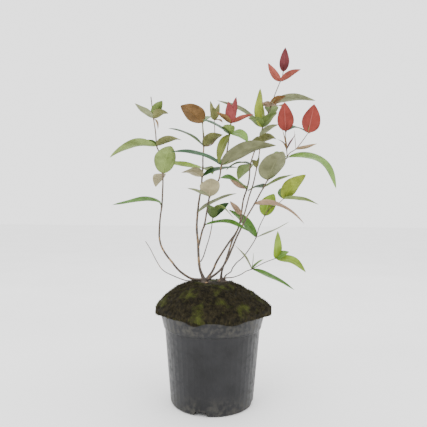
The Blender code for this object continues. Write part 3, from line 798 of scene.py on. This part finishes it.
@dataclass(frozen=True)
class MossFinish:
    """Dark damp soil under moss, from brown-black to olive, with brighter green tufts."""

    name: str
    dark: Colour
    light: Colour
    fresh: Colour
    clouds: Patches = Patches(210.0, 0.38, 0.66, detail=6.0)
    tufts: Patches = Patches(46.0, 0.54, 0.68, detail=3.0, share=0.75)
    roughness: float = 0.93
    crumb: float = 900.0
    crumb_detail: float = 6.0
    crumb_depth: float = 0.0012
    sheen: float = 0.12

    def make(self) -> bpy.types.Material:
        """Build the material.

        Returns:
            The finished material.
        """
        nodes = Nodes(self.name)
        nodes.sheen(self.sheen)
        ground = nodes.mix(nodes.patches(self.clouds), self.dark, self.light)
        skin = nodes.mix(nodes.patches(self.tufts), ground, self.fresh)
        crumbs = nodes.noise(self.crumb, self.crumb_detail)
        return nodes.finish(skin, self.roughness, crumbs, self.crumb_depth)


def placed(across: float, depth: float, height: float) -> Vector:
    """The real place of a point of the front elevation.

    Args:
        across: how far right of the pot's middle it lines up.
        depth: how far behind the pot's middle it lies.
        height: how high above the floor it lines up.

    Returns:
        The point in millimetres.
    """
    spread = 1 + depth / EYE_DISTANCE
    return Vector((across * spread, depth, EYE_HEIGHT + (height - EYE_HEIGHT) * spread))


def polar(heading: float, radius: float, height: float) -> Vector:
    """A point by its heading in degrees, its radius and its height."""
    turn = math.radians(heading)
    return Vector((radius * math.cos(turn), radius * math.sin(turn), height))


def new_piece(
    name: str, shape: bmesh.types.BMesh, skins: list[bpy.types.Material]
) -> bpy.types.Object:
    """Make a piece that rides on the body from a shape in millimetres.

    Args:
        name: the piece's name.
        shape: its faces, in millimetres; it is freed.
        skins: its materials.

    Returns:
        The finished object.
    """
    bmesh.ops.scale(shape, vec=(MM, MM, MM), verts=shape.verts)
    mesh = bpy.data.meshes.new(name)
    shape.to_mesh(mesh)
    shape.free()
    for skin in skins:
        mesh.materials.append(skin)
    mesh.shade_smooth()
    made = bpy.data.objects.new(name, mesh)
    bpy.context.scene.collection.objects.link(made)
    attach(made, BODY)
    return made


def skin_rings(shape: bmesh.types.BMesh, rings: list[list[Vector]], material: int = 0) -> None:
    """Add a skin over rings of equal count, with flat ends.

    Args:
        shape: the shape that it is added to.
        rings: the rings, from one end to the other.
        material: the slot of the faces' material.
    """
    rows = [[shape.verts.new(p) for p in ring] for ring in rings]
    count = len(rows[0])
    for low, high in zip(rows, rows[1:]):
        for k in range(count):
            after = (k + 1) % count
            face = shape.faces.new((low[k], low[after], high[after], high[k]))
            face.material_index = material
    shape.faces.new(rows[0][::-1]).material_index = material
    shape.faces.new(rows[-1]).material_index = material


class Path:
    """A smooth line through a route's places, with the girth of the stem along it."""

    def __init__(self, places: tuple[Place, ...], girth: tuple[float, float], flared: bool = False) -> None:
        """Work out the line's points, the places' marks on it and the length up to each point.

        Args:
            places: the route's places on the front elevation.
            girth: the stem's girth at its foot and its tip.
            flared: whether its foot flares.
        """
        self.girth = girth
        self.flared = flared
        points = [placed(*place) for place in places]
        ends = [points[0] * 2 - points[1], *points, points[-1] * 2 - points[-2]]
        self.points: list[Vector] = []
        self.marks: list[int] = []
        for i in range(len(points) - 1):
            p0, p1, p2, p3 = ends[i : i + 4]
            self.marks.append(len(self.points))
            steps = max(1, round((p2 - p1).length / STEM_STEP))
            for k in range(steps):
                t = k / steps
                bend = (p2 - p0) * t + (2 * p0 - 5 * p1 + 4 * p2 - p3) * t * t
                bend += (3 * p1 - p0 - 3 * p2 + p3) * t**3
                self.points.append(p1 + bend / 2)
        self.marks.append(len(self.points))
        self.points.append(points[-1])
        self.lengths = [0.0]
        for a, b in zip(self.points, self.points[1:]):
            self.lengths.append(self.lengths[-1] + (b - a).length)

    def radius(self, along: float) -> float:
        """Half the stem's girth at a distance along the path, with the flare at its foot.

        Args:
            along: the distance from the foot.

        Returns:
            The radius there.
        """
        share = along / self.lengths[-1]
        radius = (self.girth[0] + (self.girth[1] - self.girth[0]) * share**STEM_TAPER) / 2
        if self.flared:
            radius *= 1 + FOOT_FLARE * math.exp(-along / FOOT_FLARE_LENGTH)
        return radius

    def tube(self, joints: set[int]) -> list[list[Vector]]:
        """Rings of the stem with bark relief, thicker at each joint where leaves stand.

        Args:
            joints: the places of the route that bear leaves.

        Returns:
            The rings, from foot to tip.
        """
        rings = []
        side = Vector((1.0, 0.0, 0.0))
        swells = [self.lengths[self.marks[j]] for j in joints]
        last = len(self.points) - 1
        for i, centre in enumerate(self.points):
            ahead = (self.points[min(i + 1, last)] - self.points[max(i - 1, 0)]).normalized()
            side = (side - ahead * side.dot(ahead)).normalized()
            other = ahead.cross(side)
            along = self.lengths[i]
            swell = sum(math.exp(-(((along - s) / JOINT_LENGTH) ** 2)) for s in swells)
            radius = self.radius(along) * (1 + JOINT_SWELL * swell)
            ring = []
            for k in range(STEM_SIDES):
                turn = math.tau * k / STEM_SIDES
                out = side * math.cos(turn) + other * math.sin(turn)
                spot = centre + out * radius
                ring.append(spot + out * noise.noise(spot * BARK_GRAIN) * BARK_RELIEF * radius)
            rings.append(ring)
        return rings


class Blade:
    """One leaf's blade: its midrib, its upper side's direction and its cross-sections."""

    def __init__(self, leaf: Leaf, base: Vector, root_radius: float, chance: random.Random) -> None:
        """Lay the leaf out from its root in the stem.

        Args:
            leaf: the leaf's sizes.
            base: the middle of the stem where it stands.
            root_radius: half the stem's girth there.
            chance: gives its twist and its ripple.
        """
        self.leaf = leaf
        self.base = base
        self.root_radius = root_radius
        self.chord = Vector(leaf.reach) * (1 + base.y / EYE_DISTANCE)
        along = self.chord.normalized()
        up = Vector((0, 0, 1)) - along * along.z
        front = Vector((0, -1, 0)) + along * along.y
        turn = math.radians(leaf.face)
        if up.length > STEEPEST:
            self.rise = up.normalized()
            side = along.cross(self.rise)
            towards = side if side.y <= 0 else -side
            self.upper = self.rise * math.cos(turn) + towards * math.sin(turn)
        else:
            self.rise = front.normalized()
            self.upper = self.rise * math.sin(turn) + along.cross(self.rise) * math.cos(turn)
        self.twist = math.radians(chance.uniform(-LEAF_TWIST, LEAF_TWIST))
        self.wave = chance.uniform(0, math.tau)

    def middle(self, share: float) -> Vector:
        """A point of the midrib, from the root (0) to the tip (1)."""
        bend = math.log(0.5) / math.log(self.leaf.crest)
        return self.base + self.chord * share + self.rise * (self.leaf.arch * math.sin(math.pi * share**bend))

    def half_width(self, share: float) -> float:
        """Half the blade's width at a share of its length.

        Args:
            share: from the root (0) to the tip (1).

        Returns:
            The half width, never less than the root's or the tip's own.
        """
        peak = math.log(0.5) / math.log(LEAF_PEAK)
        half = self.leaf.width / 2 * max(0.0, math.sin(math.pi * share**peak)) ** OUTLINE_FULLNESS
        return max(half, self.root_radius * ROOT_SHARE * (1 - share), TIP_HALF_WIDTH)

    def section(self, share: float) -> tuple[list[Vector], list[Vector]]:
        """The points across the blade at a share of its length.

        Args:
            share: from the root (0) to the tip (1).

        Returns:
            The points of the upper side and those of the underside, from edge to edge.
        """
        near = self.middle(max(0.0, share - HEADING_STEP))
        heading = (self.middle(min(1.0, share + HEADING_STEP)) - near).normalized()
        normal = (self.upper - heading * self.upper.dot(heading)).normalized()
        normal = Matrix.Rotation(self.twist * share, 3, heading) @ normal
        side = heading.cross(normal)
        half = self.half_width(share)
        width = self.leaf.width
        fold = math.radians(self.leaf.fold)
        centre = self.middle(share)
        upper = []
        under = []
        for j in range(-LEAF_HALVES, LEAF_HALVES + 1):
            u = j / LEAF_HALVES
            lag = RIPPLE_LAG if u > 0 else 0.0
            ripple = RIPPLE * width * abs(u) ** 3 * math.sin(RIPPLES * share + self.wave + lag)
            veins = math.sin(math.tau * VEINS * (share - QUILT_SLANT * abs(u)))
            quilt = QUILT * width * veins * abs(u) * (1 - abs(u))
            spot = centre + side * (half * u * math.cos(fold))
            cup = half * abs(u) ** CUP_POWER * math.sin(fold)
            spot += normal * (cup + (ripple + quilt) * (half * 2 / width))
            groove = RIB_DEPTH * math.exp(-((u / RIB_WIDTH) ** 2)) * (1 - RIB_FADE * share)
            thick = BLADE_THICKNESS + RIB_THICKNESS * groove
            edge = 1 if abs(j) < LEAF_HALVES else EDGE_SHARE
            upper.append(spot + normal * (thick - groove) / 2)
            under.append(spot - normal * (thick / 2 + groove * RIB_BULGE) * edge)
        return upper, under


class Foliage:
    """The leaves of one stem, as one mesh with a slot for each tint's two sides."""

    def __init__(self, name: str) -> None:
        """Start an empty mesh of leaves.

        Args:
            name: the piece's name, which also seeds its leaves' twists.
        """
        self.name = name
        self.shape = bmesh.new()
        self.uv = self.shape.loops.layers.uv.new("LeafUV")
        self.tints: list[Tint] = []
        self.chance = random.Random(name)

    def slot_of(self, tint: Tint) -> int:
        """The first of a tint's two slots, which are added when it is new.

        Args:
            tint: the tint.

        Returns:
            The slot of its upper side. Its underside's is the next.
        """
        if tint not in self.tints:
            self.tints.append(tint)
        return 2 * self.tints.index(tint)

    def add(self, leaf: Leaf, base: Vector, root_radius: float) -> None:
        """Add one leaf.

        Args:
            leaf: the leaf's sizes and tint.
            base: the middle of the stem where it stands.
            root_radius: half the stem's girth there.
        """
        blade = Blade(leaf, base, root_radius, self.chance)
        upper = []
        under = []
        for i in range(LEAF_LENGTHS + 1):
            above, below = blade.section(i / LEAF_LENGTHS)
            upper.append([self.shape.verts.new(p) for p in above])
            under.append([self.shape.verts.new(p) for p in below])
        first = self.slot_of(leaf.tint)
        self.face_side(upper, first, turned=True)
        self.face_side(under, first + 1, turned=False)
        self.face_rim(upper, under, first)

    def face_side(self, grid: list[list[bmesh.types.BMVert]], slot: int, turned: bool) -> None:
        """Face one side of a leaf.

        Args:
            grid: its corners, by length and width.
            slot: its material's slot.
            turned: whether its faces run the other way round.
        """
        across = 2 * LEAF_HALVES
        for i in range(LEAF_LENGTHS):
            for j in range(across):
                corners = [(i, j), (i, j + 1), (i + 1, j + 1), (i + 1, j)]
                if turned:
                    corners.reverse()
                self.face([(grid[a][b], b / across, a / LEAF_LENGTHS) for a, b in corners], slot)

    def face_rim(
        self, upper: list[list[bmesh.types.BMVert]], under: list[list[bmesh.types.BMVert]], slot: int
    ) -> None:
        """Close the edge between a leaf's two sides.

        Args:
            upper: the corners of its upper side, by length and width.
            under: the corners of its underside.
            slot: the material's slot.
        """
        across = 2 * LEAF_HALVES
        rim = [(0, j) for j in range(across + 1)]
        rim += [(i, across) for i in range(1, LEAF_LENGTHS + 1)]
        rim += [(LEAF_LENGTHS, j) for j in range(across - 1, -1, -1)]
        rim += [(i, 0) for i in range(LEAF_LENGTHS - 1, 0, -1)]
        for (a, b), (c, d) in zip(rim, rim[1:] + rim[:1]):
            corners = [(upper[a][b], a, b), (upper[c][d], c, d), (under[c][d], c, d), (under[a][b], a, b)]
            self.face([(v, q / across, p / LEAF_LENGTHS) for v, p, q in corners], slot)

    def face(self, corners: list[tuple[bmesh.types.BMVert, float, float]], slot: int) -> None:
        """Add one face.

        Args:
            corners: its corners, each with its place across and along the leaf.
            slot: the material's slot.
        """
        face = self.shape.faces.new([c[0] for c in corners])
        face.material_index = slot
        for loop, (_, u, v) in zip(face.loops, corners):
            loop[self.uv].uv = (u, v)

    def finish(self, finishes: dict[Tint, tuple], slot: str) -> bpy.types.Object:
        """Make the piece from all its leaves.

        Args:
            finishes: each tint's materials, for the upper side and the underside.
            slot: not used.

        Returns:
            The finished object.
        """
        bmesh.ops.recalc_face_normals(self.shape, faces=self.shape.faces)
        skins = [skin for tint in self.tints for skin in finishes[tint]]
        return new_piece(self.name, self.shape, skins)


@dataclass
class Shrub:
    """All the stems with their twigs and leaves."""

    bark: bpy.types.Material
    shoot_bark: bpy.types.Material
    finishes: dict[Tint, tuple] = field(default_factory=dict)

    def grow(self, name: str, stem: Stem) -> None:
        """Build one stem and its leaves in place of its nodes.

        Args:
            name: the stem's plain name.
            stem: its route, its lengths and its leaves.
        """
        path = Path(stem.route, stem.girth, bool(stem.crown))
        wood = bmesh.new()
        skin_rings(wood, path.tube({leaf.at for leaf in stem.leaves}))
        foliage = Foliage(f"{name}_leaves")
        self.leaves(foliage, path, stem.leaves)
        for twig in stem.twigs:
            side = Path((stem.route[twig.at], *twig.route), twig.girth)
            skin_rings(wood, side.tube(set()), material=1)
            self.leaves(foliage, side, twig.leaves)
        made = new_piece(f"{name}_stem_bark", wood, [self.bark, self.shoot_bark])
        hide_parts(*(node for node, _, _ in stem.bare))
        if stem.leaves:
            leaves = foliage.finish(self.finishes, "leaf_red" if stem is RED else "leaf_green")
            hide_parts(*(node for node, _, _ in stem.leafy))
        else:
            foliage.shape.free()
        LOG.info("%s: %d leaves", name, len(stem.leaves) + sum(len(t.leaves) for t in stem.twigs))

    def leaves(self, foliage: Foliage, path: Path, leaves: tuple[Leaf, ...]) -> None:
        """Add the leaves that stand along one path.

        Args:
            foliage: the mesh that they are added to.
            path: the path of their stem or twig.
            leaves: the leaves.
        """
        for leaf in leaves:
            mark = path.marks[leaf.at]
            foliage.add(leaf, path.points[mark], path.radius(path.lengths[mark]))


@dataclass
class Mound:
    """The soil in the pot under its mat of moss, with the strands that stand and hang from it."""

    soil: bpy.types.Material
    strand: bpy.types.Material
    segments: int = 300
    rows: int = 44
    middle_share: float = 0.999
    middle_rings: Place = (0.6, 0.25, 0.02)
    middle_lump: float = 0.7
    tuck_in: float = 2.0
    tuck_down: float = 3.0
    edge_rows: Place = (1.0, 0.6, 0.25)
    edge_round: float = 1.6
    edge_clear: float = 0.5
    edge_grain: float = 0.35
    edge_grain_down: float = 5.0
    lumps: tuple = ((9.0, 1.6), (2.6, 0.9), (0.9, 0.35))
    calm_share: float = 0.05
    calm: float = 0.5
    steepness: float = 1.9
    right_fullness: float = 0.4
    blades: int = 9000
    blade_lean: float = 0.7
    blade_length: tuple[float, float] = (1.0, 3.2)
    blade_width: tuple[float, float] = (0.12, 0.3)
    blade_past_edge: float = 0.06
    fringe: int = 900
    fringe_inset: float = 1.8
    fringe_rise: float = 4.0
    fringe_extra: float = 2.5
    fringe_fall: tuple[float, float] = (0.6, 1.0)
    fringe_swing: float = 30.0
    fringe_out: tuple[float, float] = (0.1, 1.0)
    fringe_width: tuple[float, float] = (0.15, 0.4)
    knee_share: float = 0.55
    knee_bow: float = 1.4
    knee_taper: float = 0.6

    def hang(self, heading: float, quantity: str) -> float:
        """How much the tufts add to the mat.

        Args:
            heading: the direction, in degrees.
            quantity: reach or drop.

        Returns:
            What they add there, in millimetres.
        """
        total = 0.0
        for tuft in TUFTS:
            off = (heading - tuft.heading + 180.0) % 360.0 - 180.0
            total += getattr(tuft, quantity) * math.exp(-((off / tuft.spread) ** 2))
        return total

    def reach(self, heading: float) -> float:
        """How far out the mat's edge lies at a heading."""
        return MAT_RADIUS + self.hang(heading, "reach")

    def surface(self, heading: float, share: float) -> Vector:
        """A point of the mound's top.

        Args:
            heading: the direction, in degrees.
            share: from the middle (0) to the edge (1).

        Returns:
            The point, with the mound's lumps.
        """
        edge = RIM_HEIGHT + GAP + MAT_THICKNESS
        power = self.steepness - self.right_fullness * math.cos(math.radians(heading))
        radius = SOIL_TOP_RADIUS + share * (self.reach(heading) - SOIL_TOP_RADIUS)
        spot = polar(heading, radius, SOIL_TOP - (SOIL_TOP - edge) * max(0.0, share) ** power)
        rough = sum(noise.noise(spot / size) * height for size, height in self.lumps)
        spot.z += rough * (1.0 if share > self.calm_share else self.calm)
        return spot

    def headings(self) -> list[float]:
        """The headings of the mound's points."""
        return [360 * k / self.segments for k in range(self.segments)]

    def edge_ring(self, depth: float) -> list[Vector]:
        """The ring of the mat's hanging edge at a share of its drop.

        Args:
            depth: from the top of the edge (0) to its lowest (1).

        Returns:
            The ring's points.
        """
        ring = []
        for k, heading in enumerate(self.headings()):
            ragged = noise.noise(Vector((k * self.edge_grain, depth * self.edge_grain_down, 1.0)))
            out = max(RIM_RADIUS + self.edge_clear, self.reach(heading) - self.edge_round * depth + ragged)
            drop = MAT_DROP + self.hang(heading, "drop")
            ring.append(polar(heading, out, RIM_HEIGHT + GAP - drop * depth))
        return ring

    def middle_ring(self, inner: list[Vector], shrink: float) -> list[Vector]:
        """A ring of the mound's flat middle.

        Args:
            inner: the innermost ring of the slope.
            shrink: the ring's size beside it.

        Returns:
            The ring's points.
        """
        size, _ = self.lumps[1]
        ring = [Vector((spot.x * shrink, spot.y * shrink, SOIL_TOP)) for spot in inner]
        for spot in ring:
            spot.z += noise.noise(spot / size) * self.middle_lump
        return ring

    def make(self) -> None:
        """Build the mound's mesh, its standing strands and its fringe."""
        shape = bmesh.new()
        seat = RIM_HEIGHT + GAP
        rings = [[polar(h, RIM_RADIUS - self.tuck_in, seat - self.tuck_down) for h in self.headings()]]
        rings += [self.edge_ring(depth) for depth in self.edge_rows]
        for i in range(self.rows):
            share = 1.0 - i / (self.rows - 1) * self.middle_share
            rings.append([self.surface(heading, share) for heading in self.headings()])
        inner = rings[-1]
        rings += [self.middle_ring(inner, shrink) for shrink in self.middle_rings]
        skin_rings(shape, rings)
        bmesh.ops.recalc_face_normals(shape, faces=shape.faces)
        made = new_piece("moss_mound", shape, [self.soil])
        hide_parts("soil_and_moss")
        self.strands()
        LOG.info("mound: %d strands, %d in the fringe", self.blades, self.fringe)

    def strands(self) -> None:
        """Build the moss strands that stand on the mound and hang over the rim."""
        chance = random.Random(SEED)
        shape = bmesh.new()
        for _ in range(self.blades):
            share = math.sqrt(chance.random()) * (1 + self.blade_past_edge) - self.blade_past_edge
            foot = self.surface(chance.uniform(0, 360), share)
            lean = Vector((chance.gauss(0, self.blade_lean), chance.gauss(0, self.blade_lean), 1.0))
            reach = lean.normalized() * chance.uniform(*self.blade_length)
            self.strand_at(shape, foot, reach, chance.uniform(*self.blade_width))
        for _ in range(self.fringe):
            heading = chance.uniform(0, 360)
            out = self.reach(heading) - chance.uniform(0.0, self.fringe_inset)
            foot = polar(heading, out, RIM_HEIGHT + GAP + chance.uniform(0.0, self.fringe_rise))
            drop = MAT_DROP + self.hang(heading, "drop") + self.fringe_extra
            fall = chance.uniform(*self.fringe_fall) * drop
            swing = polar(heading + chance.uniform(-self.fringe_swing, self.fringe_swing), 1.0, 0.0)
            reach = swing * chance.uniform(*self.fringe_out) + Vector((0, 0, -fall))
            self.strand_at(shape, foot, reach, chance.uniform(*self.fringe_width))
        new_piece("moss_strands", shape, [self.strand])

    def strand_at(self, shape: bmesh.types.BMesh, foot: Vector, reach: Vector, width: float) -> None:
        """Add one three-sided strand with a knee a little past half way.

        Args:
            shape: the shape that it is added to.
            foot: where it stands.
            reach: from its foot to its tip.
            width: its size at the foot.
        """
        side = reach.orthogonal().normalized() * width
        other = reach.cross(side).normalized() * width
        knee = foot + reach * self.knee_share + side * self.knee_bow
        low = [shape.verts.new(foot + p) for p in (side, other - side, -side - other)]
        mid = [shape.verts.new(knee + p * self.knee_taper) for p in (side, other - side, -side - other)]
        tip = shape.verts.new(foot + reach)
        for k in range(3):
            after = (k + 1) % 3
            shape.faces.new((low[k], low[after], mid[after], mid[k]))
            shape.faces.new((mid[k], mid[after], tip))
        shape.faces.new(low[::-1])


@dataclass
class Crown:
    """A woody lump where stems meet the soil."""

    node: str
    across: float
    depth: float
    radius: float
    bark: bpy.types.Material
    sides: int = 48
    snug: float = 0.94
    knobs: float = 0.16
    knob_size: float = 1.7
    profile: tuple = ((1.0, -1.5), (1.0, 0.4), (0.9, 1.4), (0.75, 2.6), (0.56, 3.9), (0.35, 5.4), (0.12, 6.2))

    def make(self) -> None:
        """Build the lump with knobbly relief."""
        shape = bmesh.new()
        rings = []
        for share, height in self.profile:
            ring = []
            for k in range(self.sides):
                out = polar(360 * k / self.sides, self.radius * share * self.snug, 0.0)
                spot = out + Vector((self.across, self.depth, SOIL_TOP + GAP + height))
                ring.append(spot + out * self.knobs * noise.noise(spot / self.knob_size))
            rings.append(ring)
        skin_rings(shape, rings)
        made = new_piece(f"{self.node}_bark", shape, [self.bark])
        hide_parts(self.node)
        LOG.info("%s: built", self.node)


@dataclass
class Pot:
    """The moulded pot keeps its solid, with its plastic's finish."""

    skin: bpy.types.Material

    def make(self, nodes: dict[str, bpy.types.Object]) -> None:
        """Give the pot's solid its material.

        Args:
            nodes: the frame's nodes by name.
        """
        for slot in nodes["pot"].material_slots:
            slot.material = self.skin
        LOG.info("pot: dressed")


@dataclass(frozen=True)
class Lamp:
    """One soft area light, in metres and watts."""

    name: str
    place: Place
    size: float
    power: float


@dataclass
class Studio:
    """A pale floor, soft lights and the camera at the photo's angle."""

    lamps: tuple[Lamp, ...] = (
        Lamp("key", (-0.9, -1.1, 1.5), 1.1, 12.0),
        Lamp("fill", (1.2, -0.7, 0.9), 1.2, 5.0),
        Lamp("back", (0.3, 1.3, 1.4), 1.2, 6.0),
    )
    aim: Place = (0.0, 0.0, 0.25)
    sky: float = 2.3
    floor_size: float = 12.0
    floor_place: Place = (0.0, 3.0, -0.0002)
    floor_dark: Colour = (0.88, 0.88, 0.88)
    floor_light: Colour = (0.93, 0.93, 0.93)
    floor_roughness: float = 0.9
    floor_clouds: Patches = Patches(3.0, 0.3, 0.7)

    def make(self) -> None:
        """Build the floor, the sky, the lights and the camera."""
        self.lay_floor()
        world = bpy.data.worlds.new("studio")
        world.use_nodes = True
        background = world.node_tree.nodes["Background"]
        background.inputs["Color"].default_value = (1.0, 1.0, 1.0, 1.0)
        background.inputs["Strength"].default_value = self.sky
        bpy.context.scene.world = world
        for lamp in self.lamps:
            self.hang_lamp(lamp)
        self.set_camera()
        LOG.info("studio: %d lamps", len(self.lamps))

    def lay_floor(self) -> None:
        """Build the pale floor."""
        nodes = Nodes("pale_floor")
        ground = nodes.mix(nodes.patches(self.floor_clouds), self.floor_dark, self.floor_light)
        skin = nodes.finish(ground, self.floor_roughness)
        bpy.ops.mesh.primitive_plane_add(size=self.floor_size, location=self.floor_place)
        floor = bpy.context.object
        floor.name = "floor"
        floor.data.materials.append(skin)

    def hang_lamp(self, lamp: Lamp) -> None:
        """Add one light that looks at the plant.

        Args:
            lamp: its name, place, size and power.
        """
        light = bpy.data.lights.new(lamp.name, "AREA")
        light.size = lamp.size
        light.energy = lamp.power
        made = bpy.data.objects.new(lamp.name, light)
        made.location = lamp.place
        look = Vector(self.aim) - Vector(lamp.place)
        made.rotation_euler = look.to_track_quat("-Z", "Y").to_euler()
        bpy.context.scene.collection.objects.link(made)

    def set_camera(self) -> None:
        """Stand the camera level in front of the plant, at the photo's angle."""
        camera = bpy.data.cameras.new("camera")
        camera.lens = LENS
        camera.sensor_width = SENSOR
        eye = bpy.data.objects.new("camera", camera)
        eye.location = (0.0, -EYE_DISTANCE * MM, EYE_HEIGHT * MM)
        eye.rotation_euler = (math.radians(90), math.radians(-ROLL), 0.0)
        bpy.context.scene.collection.objects.link(eye)
        bpy.context.scene.camera = eye


@dataclass(frozen=True)
class Palette:
    """The plant's and the soil's finishes, and how the leaves' ones follow from their tints."""

    soil: MossFinish = MossFinish(
        "damp_soil", (0.006, 0.005, 0.003), (0.022, 0.018, 0.009), (0.050, 0.060, 0.012)
    )
    moss: MossFinish = MossFinish(
        "moss_strand", (0.020, 0.016, 0.008), (0.060, 0.052, 0.022), (0.095, 0.110, 0.022)
    )
    stem: BarkFinish = BarkFinish(
        "stem_bark", (0.055, 0.038, 0.026), (0.15, 0.105, 0.060), (0.30, 0.18, 0.08)
    )
    shoot: BarkFinish = BarkFinish(
        "shoot_bark", (0.14, 0.06, 0.035), (0.20, 0.085, 0.055), (0.26, 0.17, 0.08)
    )
    upper_rib_gain: float = 1.5
    upper_rib_lift: float = 0.05
    under_rib_gain: float = 1.2
    upper_veins: float = 0.35
    under_veins: float = 0.6
    upper_roughness: float = 0.40
    under_roughness: float = 0.6

    def leaf(self, tint: Tint) -> tuple[bpy.types.Material, bpy.types.Material]:
        """The materials of one tint.

        Args:
            tint: the tint.

        Returns:
            The upper side's material and the underside's.
        """
        upper, under = tint.value
        name = f"leaf_{tint.name.lower()}"
        rib = tuple(min(1.0, c * self.upper_rib_gain + self.upper_rib_lift) for c in upper)
        vein = tuple(c * self.under_rib_gain for c in under)
        top = LeafFinish(f"{name}_upper", upper, rib, self.upper_veins, self.upper_roughness)
        low = LeafFinish(f"{name}_under", under, vein, self.under_veins, self.under_roughness)
        return top.make(), low.make()


def main() -> None:
    """Build the studio, the pot, the mound, the crowns, and the stems with their leaves, in that order."""
    logging.basicConfig(level=logging.INFO)
    for thing in list(bpy.data.objects):
        bpy.data.objects.remove(thing, do_unlink=True)
    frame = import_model()
    palette = Palette()
    Studio().make()
    Pot(PlasticFinish().make()).make(frame["nodes"])
    Mound(palette.soil.make(), palette.moss.make()).make()
    bark = palette.stem.make()
    for node, (across, depth, radius) in CROWNS.items():
        Crown(node, across, depth, radius, bark).make()
    shrub = Shrub(bark, palette.shoot.make(), {tint: palette.leaf(tint) for tint in Tint})
    for name, stem in STEMS.items():
        shrub.grow(name, stem)


if __name__ == "__main__":
    main()
